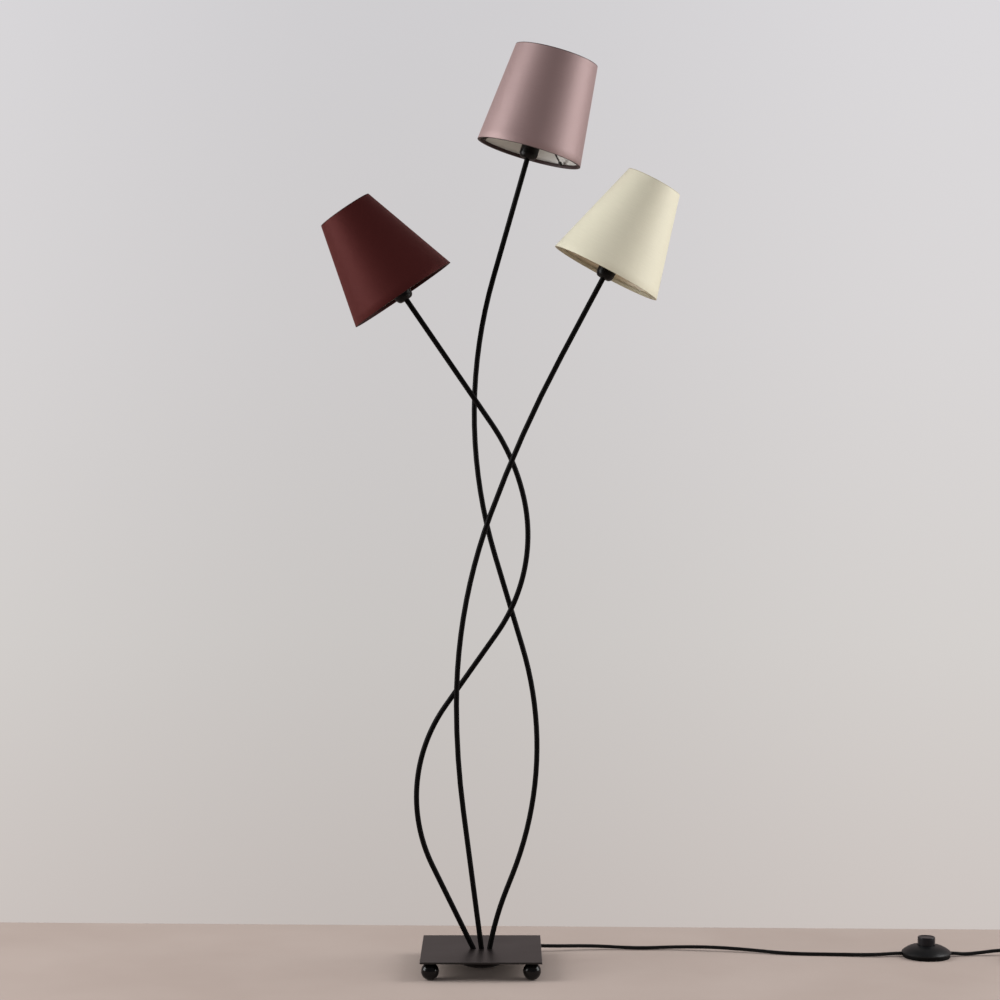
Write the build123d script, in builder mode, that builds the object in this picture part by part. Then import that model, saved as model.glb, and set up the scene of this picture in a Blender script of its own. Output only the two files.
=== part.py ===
"""Tree floor lamp: three bent tubular stems that cross each other, each with a tilted fabric shade.

Millimetres. The origin is the middle of the base at floor level, +Z is up, +X is the side of the
cream shade and of the foot switch, and -Y is the front.
"""

from build123d import *
import math
import os

os.makedirs("parts", exist_ok=True)

# Base: a thin square steel plate on four balls, with a spun cup under it for the wiring.
plate_side = 180.0
plate_thickness = 3.0
plate_corner_radius = 1.5
plate_edge_break = 0.4
ball_diameter = 26.6
ball_height = 26.0
foot_inset = 15.0
foot_stud_diameter = 5.0
foot_stud_depth = 12.0
thread_clearance = 0.05

cup_rim_diameter = 86.0
cup_flat_diameter = 50.0
cup_depth = 21.5
cup_wall = 1.2
cup_side_height = 7.7
cup_side_inset = 6.5
cup_side_wall = 0.96
pillar_diameter = 7.0
pillar_circle = 40.0
cup_screw_diameter = 3.5
cup_screw_head_diameter = 6.4
cup_screw_head_height = 1.8
cup_screw_grip = 9.0
cup_screw_taper = 18.0
cut_over = 1.0
pillar_bore_depth = 10.0

block_length = 17.0
block_width = 15.0
block_height = 11.0
block_x = -20.5
block_y = -16.5
block_poles = 3
block_bore = 3.4
block_screw_bore = 3.8
block_corner_radius = 1.0

# Stems: round steel tube, mitred flat on the plate and held by a hollow threaded spigot.
stem_diameter = 8.0
stem_bore = 6.0
foot_pitch = 12.2
spigot_diameter = 6.0
spigot_bore = 4.4
spigot_length = 8.6
weld_depth = 2.0
bore_start = 2.5
spigot_bore_rise = 3.0
foot_trim = 8.0
washer_diameter = 11.0
washer_thickness = 1.0
nut_across_flats = 10.0
nut_sides = 6
nut_height = 4.5
lead_diameter = 2.8
lead_bend_radius = 12.0
lead_tail = 2.0

# A bender's schedule for each tube: its foot along X, how far its plane leans back and how far it
# is turned about the vertical, the heading at the foot, and then each bend as the straight before
# it, its radius and its turn. Headings and turns are in degrees, positive to the right.
stems = {
    "rose": {
        "foot_x": foot_pitch,
        "lean": 1.3,
        "yaw": 0.0,
        "heading": 11.6,
        "bends": [(12.0, 440.0, 10.1), (27.0, 519.0, -38.4), (143.0, 748.0, 32.6)],
        "top_run": 187.5,
    },
    "burgundy": {
        "foot_x": -foot_pitch,
        "lean": 0.0,
        "yaw": 3.5,
        "heading": -26.1,
        "bends": [(139.5, 235.0, 61.6), (131.5, 256.0, -48.1), (0.0, 321.0, -21.9)],
        "top_run": 225.0,
    },
    "cream": {
        "foot_x": 0.0,
        "lean": -1.7,
        "yaw": 3.0,
        "heading": -7.5,
        "bends": [(209.5, 1240.0, 7.4), (0.0, 823.0, 20.2), (0.0, 1887.0, 7.9)],
        "top_run": 132.0,
    },
}

# Lamp holder: a moulded cap screwed on the tube, a threaded sleeve on it, and a clamping ring.
holder_diameter = 28.0
holder_wall = 1.8
cap_height = 26.0
cap_nose_diameter = 14.0
cap_shoulder_height = 9.0
cap_floor = 10.0
ferrule_diameter = 10.0
ferrule_length = 9.0
sleeve_height = 34.0
sleeve_flange_diameter = 34.0
sleeve_flange_height = 2.0
flange_rise = 18.0
sleeve_lip_height = 2.0
sleeve_mouth_diameter = 19.0
ring_nut_diameter = 38.0
ring_nut_height = 8.0
ring_nut_grips = 24
ring_nut_grip_diameter = 2.4
insert_clearance = 0.2
insert_height = 19.0
insert_rise = 12.0
shell_diameter = 16.6
shell_wall = 0.7
shell_height = 22.0
bulb_diameter = 45.0
bulb_length = 78.0
bulb_cap_diameter = 14.0
bulb_cap_length = 24.0
bulb_neck_flare_radius = 11.0
bulb_glass_wall = 0.8
bulb_cap_wall = 0.5
bulb_seat_gap = 0.5

# Shades: fabric on a stiff sheet, rolled over a wire ring at each end, with a three-armed carrier.
shade_height = 154.5
shade_rise = 9.2
shades = {
    "rose": {"bottom": 162.0, "top": 129.0, "first_arm": 48.0},
    "burgundy": {"bottom": 172.0, "top": 86.0, "first_arm": 90.0},
    "cream": {"bottom": 172.0, "top": 86.0, "first_arm": 90.0},
}
cover_thickness = 0.8
hem_channel = 2.7
hem_height = 5.0
lining_thickness = 0.4
lining_gap = 0.3
lining_inset = 3.8
ring_wire = 2.4
arm_wire = 2.6
arm_count = 3
arm_notch = 4.0
hub_diameter = 46.0
hub_thickness = 1.6
hub_weld = 0.7
turn_clearance = 0.3
seat_clearance = 0.1

# Foot switch on the cord.
switch_x = 682.0
switch_y = 73.0
switch_diameter = 75.0
switch_base_diameter = 72.6
switch_base_height = 5.6
switch_wall = 2.2
switch_dome_height = 18.2
switch_rim_height = 2.2
switch_dome_bulge = 3.0
switch_rim_slope = 0.3
button_diameter = 26.5
button_top = 30.5
button_clearance = 0.4
button_flange_diameter = 31.0
button_flange_height = 1.6
button_rest_gap = 0.6
button_dish_slope = 2.0
button_wall = 2.0
button_dish = 0.8
button_edge_radius = 1.6
spring_wire = 0.9
spring_diameter = 12.0
spring_turns = 4
mechanism_length = 46.0
mechanism_width = 24.0
mechanism_height = 7.2
spring_post_diameter = 8.0
spring_post_height = 4.0
switch_boss_diameter = 7.0
switch_boss_spacing = 44.0
cover_boss_height = 7.0
switch_screw_diameter = 2.9
switch_screw_head_diameter = 5.4
switch_screw_head_height = 1.6
switch_screw_grip = 5.0

# Flexible cord, its exit under the base and its plug.
cord_diameter = 5.4
cord_clearance = 0.1
exit_azimuth = 65.0
exit_height = 12.0
cord_start_radius = 30.0
clamp_length = 8.0
clamp_width = 14.0
bush_neck_diameter = 9.0
bush_flange_diameter = 12.0
bush_flange_thickness = 1.6
bush_tail_end_diameter = 7.4
bush_tail_end_radius = 62.0
bush_wall_radius = 41.0
bush_inner_radius = 36.5
bush_clearance = 0.3
bush_lead = 13.0
arc_share = 0.45
switch_entry_height = 5.2

coil_pitch = 5.9
coil_inner_radius = 22.5
coil_top_half_turns = 5
coil_bottom_half_turns = 6
coil_x = 842.0
coil_entry_y = 79.0
coil_end_straight = 5.6
gap_samples = 700
gap_skip = 6.0

plug_width = 35.3
plug_thickness = 13.7
plug_length = 36.0
plug_waist = 13.0
plug_relief_length = 20.0
plug_relief_end_diameter = 7.6
plug_edge_radius = 2.5
plug_waist_step = 1.0
plug_relief_sink = 0.5
plug_pin_diameter = 4.0
plug_pin_length = 19.0
plug_pin_spacing = 18.6
plug_pin_root = 6.0
plug_pin_root_diameter = 3.0
plug_shoulder_length = 16.2
plug_tail_flat = 15.0
plug_tail_rise_end = 33.0
plug_tail_length = 48.0

floor_cord_height = cord_diameter / 2
plate_bottom = ball_height
plate_top = plate_bottom + plate_thickness
foot_spacing = plate_side - 2 * foot_inset
cup_bottom = plate_bottom - cup_depth


def save(piece, label):
    """Label a finished piece and write it."""
    piece.part.label = label
    export_step(piece.part, f"parts/{label}.step")


def upright_plane(x, y):
    """Upright plane through a point of the floor, with its X to the right and its Y up."""
    return Plane(origin=(x, y, 0), x_dir=(1, 0, 0), z_dir=(0, -1, 0))


def section_plane(head):
    """Plane through a head's axis, with the radius along its X and the axis along its Y."""
    return Plane(origin=head.origin, x_dir=head.x_dir, z_dir=-head.y_dir)


def head_axis(head):
    return Axis(head.origin, head.z_dir)


# Base plate with the three spigot holes.
with BuildPart() as base_plate:
    with BuildSketch(Plane.XY.offset(plate_bottom)):
        RectangleRounded(plate_side, plate_side, plate_corner_radius)
        with Locations((-foot_pitch, 0), (0, 0), (foot_pitch, 0)):
            Circle(spigot_diameter / 2 + thread_clearance, mode=Mode.SUBTRACT)
    extrude(amount=plate_thickness)
    outer_edges = base_plate.faces().sort_by(Axis.Z)[-1].outer_wire().edges()
    chamfer(outer_edges, plate_edge_break)
save(base_plate, "base_plate")

# Ball feet, each turned with a small flat at the floor and under the plate, on a threaded stud.
ball_centre = ball_height / 2
half = foot_spacing / 2
foot_places = {
    "ball_foot_front_left": (-half, -half),
    "ball_foot_front_right": (half, -half),
    "ball_foot_rear_left": (-half, half),
    "ball_foot_rear_right": (half, half),
}
flat_radius = math.sqrt((ball_diameter / 2) ** 2 - ball_centre**2)
for name, (x, y) in foot_places.items():
    with BuildPart() as ball_foot:
        with BuildSketch(upright_plane(x, y)):
            with BuildLine():
                low = Line((0, 0), (flat_radius, 0))
                round_side = ThreePointArc(
                    low @ 1, (ball_diameter / 2, ball_centre), (flat_radius, ball_height)
                )
                Polyline(round_side @ 1, (0, ball_height), (0, 0))
            make_face()
        revolve(axis=Axis((x, y, 0), (0, 0, 1)))
        with BuildSketch(Plane.XY.offset(ball_height)):
            with Locations((x, y)):
                Circle(foot_stud_diameter / 2 + thread_clearance)
        extrude(amount=-(foot_stud_depth + cut_over), mode=Mode.SUBTRACT)
    save(ball_foot, name)

with BuildPart() as foot_studs:
    with BuildSketch(Plane.XY.offset(plate_bottom)):
        with GridLocations(foot_spacing, foot_spacing, 2, 2):
            Circle(foot_stud_diameter / 2)
    extrude(amount=-foot_stud_depth)
save(foot_studs, "foot_studs")

# Spun cup that closes the wiring space, screwed to two pillars under the plate.
exit_dir = Vector(math.cos(math.radians(exit_azimuth)), math.sin(math.radians(exit_azimuth)), 0)
exit_plane = Plane(
    origin=(0, 0, exit_height), x_dir=(-exit_dir.Y, exit_dir.X, 0), z_dir=exit_dir
)
pillar_places = PolarLocations(pillar_circle / 2, 2, start_angle=exit_azimuth + 90)
cup_rim_radius = cup_rim_diameter / 2
cup_flat_radius = cup_flat_diameter / 2
cup_side_radius = cup_rim_radius - cup_side_inset
with BuildPart() as wiring_cup:
    with BuildSketch(Plane.XZ):
        with BuildLine():
            floor_line = Line((0, cup_bottom), (cup_flat_radius, cup_bottom))
            side = ThreePointArc(
                floor_line @ 1,
                (cup_side_radius, cup_bottom + cup_side_height),
                (cup_rim_radius, plate_bottom),
            )
            rim = Line(side @ 1, (cup_rim_radius - cup_wall, plate_bottom))
            inner = ThreePointArc(
                rim @ 1,
                (cup_side_radius - cup_side_wall, cup_bottom + cup_side_height + cup_wall / 2),
                (cup_flat_radius, cup_bottom + cup_wall),
            )
            Polyline(inner @ 1, (0, cup_bottom + cup_wall), (0, cup_bottom))
        make_face()
    revolve(axis=Axis.Z)
    with BuildSketch(exit_plane):
        Circle(bush_neck_diameter / 2)
    extrude(amount=cup_rim_radius + cut_over, mode=Mode.SUBTRACT)
    with BuildSketch(Plane.XY.offset(cup_bottom)):
        with pillar_places:
            Circle(cup_screw_diameter / 2 + cord_clearance)
    extrude(amount=cup_wall, mode=Mode.SUBTRACT)
save(wiring_cup, "wiring_cup")

pillar_bottom = cup_bottom + cup_wall
with BuildPart() as cup_pillars:
    with BuildSketch(Plane.XY.offset(plate_bottom)):
        with pillar_places:
            Circle(pillar_diameter / 2)
    extrude(amount=pillar_bottom - plate_bottom)
    with BuildSketch(Plane.XY.offset(pillar_bottom)):
        with pillar_places:
            Circle(cup_screw_diameter / 2 + thread_clearance)
    extrude(amount=pillar_bore_depth, mode=Mode.SUBTRACT)
save(cup_pillars, "cup_pillars")

with BuildPart() as cup_screws:
    with BuildSketch(Plane.XY.offset(cup_bottom)):
        with pillar_places:
            Circle(cup_screw_diameter / 2)
    extrude(amount=cup_screw_grip)
    with BuildSketch(Plane.XY.offset(cup_bottom)):
        with pillar_places:
            Circle(cup_screw_head_diameter / 2)
    extrude(amount=-cup_screw_head_height, taper=cup_screw_taper)
save(cup_screws, "cup_screws")

# Terminal block, seated on the underside of the plate.
with BuildPart() as terminal_block:
    with BuildSketch(Plane.XY.offset(plate_bottom)):
        with Locations((block_x, block_y)):
            RectangleRounded(block_length, block_width, block_corner_radius)
    extrude(amount=-block_height)
    block_pitch = block_length / block_poles
    with BuildSketch(Plane.XZ.offset(-block_y - block_width / 2)):
        with Locations((block_x, plate_bottom - block_height / 2)):
            with GridLocations(block_pitch, 1, block_poles, 1):
                Circle(block_bore / 2)
    extrude(amount=block_width, mode=Mode.SUBTRACT)
    with BuildSketch(Plane.XY.offset(plate_bottom - block_height)):
        with Locations((block_x, block_y)):
            with GridLocations(block_pitch, block_width / 2, block_poles, 2):
                Circle(block_screw_bore / 2)
    extrude(amount=block_height / 3, mode=Mode.SUBTRACT)
save(terminal_block, "terminal_block")

# Clamp that holds the cord just inside the cup.
clamp_plane = exit_plane.offset(cord_start_radius - clamp_length)
clamp_top = plate_bottom - exit_height
with BuildPart() as cord_clamp:
    with BuildSketch(clamp_plane):
        with Locations((0, (clamp_top - cord_diameter / 2) / 2)):
            RectangleRounded(clamp_width, clamp_top + cord_diameter / 2, block_corner_radius)
    extrude(amount=clamp_length)
    with BuildSketch(Plane.XY.offset(exit_height - cord_diameter / 2)):
        with Locations(clamp_plane.origin + exit_dir * (clamp_length / 2)):
            with PolarLocations(clamp_width / 3, 2, start_angle=exit_azimuth + 90):
                Circle(block_screw_bore / 2)
    extrude(amount=clamp_top / 2, mode=Mode.SUBTRACT)
save(cord_clamp, "cord_clamp")

# Moulded bush in the cup's wall, with a tapered tail round the cord.
bush_flange_start = bush_wall_radius + cut_over
bush_flange_end = bush_flange_start + bush_flange_thickness
bush_plane = Plane(
    origin=exit_plane.origin, x_dir=exit_plane.y_dir, z_dir=exit_plane.x_dir
)
with BuildPart() as cord_bush:
    with BuildSketch(bush_plane):
        with BuildLine():
            Polyline(
                (cord_diameter / 2 + cord_clearance, bush_inner_radius),
                (bush_neck_diameter / 2 - bush_clearance, bush_inner_radius),
                (bush_neck_diameter / 2 - bush_clearance, bush_flange_start),
                (bush_flange_diameter / 2, bush_flange_start),
                (bush_flange_diameter / 2, bush_flange_end),
                (bush_neck_diameter / 2, bush_flange_end + cut_over),
                (bush_tail_end_diameter / 2, bush_tail_end_radius),
                (cord_diameter / 2 + cord_clearance, bush_tail_end_radius),
                close=True,
            )
        make_face()
    revolve(axis=Axis(exit_plane.origin, exit_dir))
save(cord_bush, "cord_bush")


def stem_plane(stem):
    """Plane of a stem's bends, with its X to the right and its Y up along the stem."""
    lean = math.radians(stem["lean"])
    yaw = math.radians(stem["yaw"])
    across = Vector(math.cos(yaw), math.sin(yaw), 0)
    upward = Vector(
        -math.sin(yaw) * math.sin(lean), math.cos(yaw) * math.sin(lean), math.cos(lean)
    )
    return Plane(origin=(stem["foot_x"], 0, plate_top), x_dir=across, z_dir=across.cross(upward))


def ahead(start, heading, length):
    """Point at a length along a heading, which is measured from up to the right."""
    angle = math.radians(heading)
    return (start[0] + length * math.sin(angle), start[1] + length * math.cos(angle))


def past_bend(start, heading, radius, turn):
    """Point at the end of a bend that starts at a point with a heading."""
    side = math.copysign(radius, turn)
    angle = math.radians(heading)
    swing = math.radians(heading + turn)
    return (
        start[0] + side * (math.cos(angle) - math.cos(swing)),
        start[1] + side * (math.sin(swing) - math.sin(angle)),
    )


def draw_stem(stem, start_at, end_beyond):
    """Draw a stem's line in the open BuildLine, from past its foot to beyond its top."""
    heading = stem["heading"]
    point = ahead((0, 0), heading, start_at)
    run = -start_at
    for straight, radius, turn in stem["bends"]:
        run += straight
        if run > 0:
            corner = ahead(point, heading, run)
            Line(point, corner)
            point = corner
        JernArc(point, ahead((0, 0), heading, 1), radius, -turn)
        point = past_bend(point, heading, radius, turn)
        heading += turn
        run = 0
    Line(point, ahead(point, heading, stem["top_run"] + end_beyond))


def head_plane(stem):
    """Plane at the bottom of a lamp holder, with its Z along the holder's axis."""
    heading = stem["heading"]
    point = (0, 0)
    for straight, radius, turn in stem["bends"]:
        point = past_bend(ahead(point, heading, straight), heading, radius, turn)
        heading += turn
    top = ahead(point, heading, stem["top_run"])
    plane = stem_plane(stem)
    angle = math.radians(heading)
    forward = plane.x_dir * math.sin(angle) + plane.y_dir * math.cos(angle)
    right = plane.x_dir * math.cos(angle) - plane.y_dir * math.sin(angle)
    return Plane(origin=plane.from_local_coords((top[0], top[1], 0)), x_dir=right, z_dir=forward)


# Bent stems. The bore starts above the mitre, and the spigot's own bore meets it.
heads = {}
for colour, stem in stems.items():
    heads[colour] = head_plane(stem)
    plane = stem_plane(stem)
    with BuildPart() as bent_stem:
        with BuildLine(plane) as outer_line:
            # The straight at the foot runs on below the plate, and is cut off at its top face.
            first = ahead((0, 0), stem["heading"], -foot_trim)
            Line(first, (0, 0))
            draw_stem(stem, 0, ferrule_length)
        with BuildSketch(Plane(origin=outer_line.line @ 0, z_dir=outer_line.line % 0)):
            Circle(stem_diameter / 2)
        sweep()
        split(bisect_by=Plane.XY.offset(plate_top), keep=Keep.TOP)
        with BuildSketch(Plane.XY.offset(plate_bottom - spigot_length)):
            with Locations((stem["foot_x"], 0)):
                Circle(spigot_diameter / 2)
        extrude(amount=spigot_length + plate_thickness + weld_depth)
        with BuildSketch(heads[colour]):
            Circle(ferrule_diameter / 2)
        extrude(amount=ferrule_length)
        with BuildSketch(Plane.XY.offset(plate_bottom - spigot_length)):
            with Locations((stem["foot_x"], 0)):
                Circle(spigot_bore / 2)
        extrude(
            amount=spigot_length + plate_thickness + spigot_bore_rise, mode=Mode.SUBTRACT
        )
        with BuildLine(plane) as bore_line:
            draw_stem(stem, bore_start, ferrule_length)
        with BuildSketch(Plane(origin=bore_line.line @ 0, z_dir=bore_line.line % 0)):
            Circle(stem_bore / 2)
        sweep(mode=Mode.SUBTRACT)
    save(bent_stem, f"{colour}_stem")

stem_feet = Locations(*[(stem["foot_x"], 0) for stem in stems.values()])
with BuildPart() as stem_washers:
    with BuildSketch(Plane.XY.offset(plate_bottom)):
        with stem_feet:
            Circle(washer_diameter / 2)
            Circle(spigot_diameter / 2 + thread_clearance, mode=Mode.SUBTRACT)
    extrude(amount=-washer_thickness)
save(stem_washers, "stem_washers")

with BuildPart() as stem_nuts:
    with BuildSketch(Plane.XY.offset(plate_bottom - washer_thickness)):
        with stem_feet:
            RegularPolygon(nut_across_flats / 2, nut_sides, major_radius=False, rotation=90)
            Circle(spigot_diameter / 2 + thread_clearance, mode=Mode.SUBTRACT)
    extrude(amount=-nut_height)
save(stem_nuts, "stem_nuts")

# Insulated leads inside the stems, from the wiring space up to each holder.
with BuildPart() as stem_leads:
    for stem in stems.values():
        bend_reach = lead_bend_radius * math.tan(math.radians(abs(stem["heading"])) / 2)
        with BuildLine(stem_plane(stem)) as lead_line:
            Line((0, -plate_thickness - spigot_length - lead_tail), (0, -bend_reach))
            JernArc((0, -bend_reach), (0, 1), lead_bend_radius, -stem["heading"])
            draw_stem(stem, bend_reach, insert_rise)
        with BuildSketch(Plane(origin=lead_line.line @ 0, z_dir=lead_line.line % 0)):
            Circle(lead_diameter / 2)
        sweep()
save(stem_leads, "stem_leads")

# Lamp holders. Heights are measured along the holder's axis from its lower end.
holder_radius = holder_diameter / 2
sleeve_top = cap_height + sleeve_height
flange_top = cap_height + flange_rise + sleeve_flange_height
hub_bottom = flange_top + seat_clearance
ring_nut_bottom = hub_bottom + hub_thickness + seat_clearance
bulb_bottom = insert_rise + insert_height + bulb_seat_gap
bulb_cap_top = bulb_bottom + bulb_cap_length
bulb_top = bulb_bottom + bulb_length


def bulb_outline(wall):
    """Draw one side of the glass, set in by a wall thickness, from the cap to the crown."""
    ball = bulb_diameter / 2 - wall
    flare = bulb_neck_flare_radius + wall
    neck = bulb_cap_diameter / 2 - wall
    centre = bulb_top - bulb_diameter / 2
    turn = math.degrees(math.acos((neck + flare) / (ball + flare)))
    neck_top = centre - (ball + flare) * math.sin(math.radians(turn))
    Line((neck, bulb_cap_top), (neck, neck_top))
    flared = JernArc((neck, neck_top), (0, 1), flare, -turn)
    side = JernArc(flared @ 1, flared % 1, ball, turn + 90)
    return side @ 1


for colour, head in heads.items():
    section = section_plane(head)
    with BuildPart() as holder_cap:
        with BuildSketch(section):
            with BuildLine():
                nose = cap_nose_diameter / 2
                bore = ferrule_diameter / 2 + thread_clearance
                dome_share = math.sqrt(0.5)
                dome_middle = (
                    nose + (holder_radius - nose) * dome_share,
                    cap_shoulder_height * (1 - dome_share),
                )
                ThreePointArc((nose, 0), dome_middle, (holder_radius, cap_shoulder_height))
                Polyline(
                    (holder_radius, cap_shoulder_height),
                    (holder_radius, cap_height),
                    (holder_radius - holder_wall, cap_height),
                    (holder_radius - holder_wall, cap_floor),
                    (bore, cap_floor),
                    (bore, 0),
                    (nose, 0),
                )
            make_face()
        revolve(axis=head_axis(head))
    save(holder_cap, f"{colour}_holder_cap")

    with BuildPart() as holder_sleeve:
        with BuildSketch(head.offset(cap_height)):
            Circle(holder_radius)
        extrude(amount=sleeve_height)
        with BuildSketch(head.offset(flange_top)):
            Circle(sleeve_flange_diameter / 2)
        extrude(amount=-sleeve_flange_height)
        with BuildSketch(head.offset(cap_height)):
            Circle(holder_radius - holder_wall)
        extrude(amount=sleeve_height - sleeve_lip_height, mode=Mode.SUBTRACT)
        with BuildSketch(head.offset(sleeve_top)):
            Circle(sleeve_mouth_diameter / 2)
        extrude(amount=-sleeve_lip_height, mode=Mode.SUBTRACT)
    save(holder_sleeve, f"{colour}_holder_sleeve")

    with BuildPart() as ring_nut:
        with BuildSketch(head.offset(ring_nut_bottom)):
            Circle(ring_nut_diameter / 2)
            Circle(holder_radius + thread_clearance, mode=Mode.SUBTRACT)
            with PolarLocations(ring_nut_diameter / 2, ring_nut_grips):
                Circle(ring_nut_grip_diameter / 2, mode=Mode.SUBTRACT)
        extrude(amount=ring_nut_height)
    save(ring_nut, f"{colour}_ring_nut")

    with BuildPart() as lamp_insert:
        with BuildSketch(head.offset(insert_rise)):
            Circle(holder_radius - holder_wall - insert_clearance)
        extrude(amount=insert_height)
        with BuildSketch(head.offset(insert_rise + insert_height)):
            Circle(shell_diameter / 2)
            Circle(shell_diameter / 2 - shell_wall, mode=Mode.SUBTRACT)
        extrude(amount=shell_height)
    save(lamp_insert, f"{colour}_lamp_insert")

    with BuildPart() as bulb_cap:
        with BuildSketch(head.offset(bulb_bottom)):
            Circle(bulb_cap_diameter / 2)
        extrude(amount=bulb_cap_length)
        with BuildSketch(head.offset(bulb_cap_top)):
            Circle(bulb_cap_diameter / 2 - bulb_cap_wall)
        extrude(amount=bulb_cap_wall * 4 - bulb_cap_length, mode=Mode.SUBTRACT)
    save(bulb_cap, f"{colour}_bulb_cap")

    with BuildPart() as bulb_glass:
        with BuildSketch(section):
            with BuildLine():
                outer_crown = bulb_outline(0)
                inner_crown = bulb_outline(bulb_glass_wall)
                Line(outer_crown, inner_crown)
                outer_foot = (bulb_cap_diameter / 2, bulb_cap_top)
                Line(outer_foot, (outer_foot[0] - bulb_glass_wall, bulb_cap_top))
            make_face()
        revolve(axis=head_axis(head))
    save(bulb_glass, f"{colour}_bulb_glass")

# Shades. Heights in a shade's own outline are measured from its lower rim.
roll_width = 2 * cover_thickness + hem_channel
low_ring_height = cover_thickness + lining_gap / 2 + ring_wire / 2
high_ring_height = shade_height - low_ring_height
hub_level = hub_bottom - shade_rise + hub_thickness / 2
for colour, shade in shades.items():
    head = heads[colour]
    section = section_plane(head)
    rim = Plane(
        origin=head.origin + head.z_dir * shade_rise, x_dir=section.x_dir, z_dir=section.z_dir
    )
    low_radius = shade["bottom"] / 2
    slope = (shade["top"] - shade["bottom"]) / 2 / shade_height

    def wall(height, inset=0.0):
        """Point on the shade's outer cone at a height, set in by a horizontal distance."""
        return (low_radius + slope * height - inset, height)

    with BuildPart() as shade_cover:
        with BuildSketch(rim):
            with BuildLine():
                Polyline(
                    wall(0),
                    wall(shade_height),
                    wall(shade_height, roll_width),
                    wall(shade_height - hem_height, roll_width),
                    wall(shade_height - hem_height, roll_width - cover_thickness),
                    wall(shade_height - cover_thickness, roll_width - cover_thickness),
                    wall(shade_height - cover_thickness, cover_thickness),
                    wall(cover_thickness, cover_thickness),
                    wall(cover_thickness, roll_width - cover_thickness),
                    wall(hem_height, roll_width - cover_thickness),
                    wall(hem_height, roll_width),
                    wall(0, roll_width),
                    close=True,
                )
            make_face()
        revolve(axis=head_axis(head))
        # The lower hem is notched where the carrier's arms come through it.
        with BuildSketch(head.offset(shade_rise + cover_thickness)):
            with PolarLocations(
                low_radius - roll_width, arm_count, start_angle=shade["first_arm"]
            ):
                Rectangle(roll_width - cover_thickness, arm_notch)
        extrude(amount=hem_height, mode=Mode.SUBTRACT)
    save(shade_cover, f"{colour}_shade_cover")

    with BuildPart() as shade_lining:
        lining_face = cover_thickness + lining_gap
        with BuildSketch(rim):
            with BuildLine():
                Polyline(
                    wall(lining_inset, lining_face),
                    wall(shade_height - lining_inset, lining_face),
                    wall(shade_height - lining_inset, lining_face + lining_thickness),
                    wall(lining_inset, lining_face + lining_thickness),
                    close=True,
                )
            make_face()
        revolve(axis=head_axis(head))
    save(shade_lining, f"{colour}_shade_lining")

    ring_inset = cover_thickness + hem_channel / 2
    with BuildPart() as top_ring:
        with BuildSketch(rim):
            with Locations(wall(high_ring_height, ring_inset)):
                Circle(ring_wire / 2)
        revolve(axis=head_axis(head))
    save(top_ring, f"{colour}_shade_top_ring")

    with BuildPart() as carrier:
        with BuildSketch(rim):
            with Locations(wall(low_ring_height, ring_inset)):
                Circle(ring_wire / 2)
        revolve(axis=head_axis(head))
        with BuildSketch(head.offset(hub_bottom)):
            Circle(hub_diameter / 2)
            Circle(holder_radius + turn_clearance, mode=Mode.SUBTRACT)
        extrude(amount=hub_thickness)
        for arm in range(arm_count):
            angle = math.radians(shade["first_arm"] + arm * 360 / arm_count)
            spoke = head.x_dir * math.cos(angle) + head.y_dir * math.sin(angle)
            ring_radius, ring_height = wall(low_ring_height, ring_inset)
            low_end = rim.origin + spoke * ring_radius + head.z_dir * ring_height
            hub_radius = hub_diameter / 2 - hub_weld
            hub_end = rim.origin + spoke * hub_radius + head.z_dir * hub_level
            with BuildLine() as arm_line:
                Line(low_end, hub_end)
            with BuildSketch(Plane(origin=low_end, z_dir=hub_end - low_end)):
                Circle(arm_wire / 2)
            sweep(path=arm_line.line)
    save(carrier, f"{colour}_shade_carrier")

# Foot switch: a flat base, a domed cover on it, and a sprung button through the cover.
switch_plane = upright_plane(switch_x, switch_y)
switch_axis = Axis((switch_x, switch_y, 0), (0, 0, 1))
switch_radius = switch_diameter / 2
switch_base_radius = switch_base_diameter / 2
button_radius = button_diameter / 2
button_hole_radius = button_radius + button_clearance
rim_top = switch_base_height + switch_rim_height
cord_slot_radius = cord_diameter / 2 + cord_clearance
boss_top = switch_base_height + switch_rim_height
boss_places = [(0, -switch_boss_spacing / 2), (0, switch_boss_spacing / 2)]


def dome_arc(inset):
    """Draw the cover's dome, set in by a wall thickness, from its rim to the button's hole."""
    rim_point = Vector(switch_radius - inset, rim_top - inset * switch_rim_slope)
    hole_point = Vector(button_hole_radius, switch_dome_height - inset)
    chord = (hole_point - rim_point).normalized()
    middle = (rim_point + hole_point) * 0.5 + Vector(-chord.Y, chord.X) * -switch_dome_bulge
    return ThreePointArc(rim_point, middle, hole_point)


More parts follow.
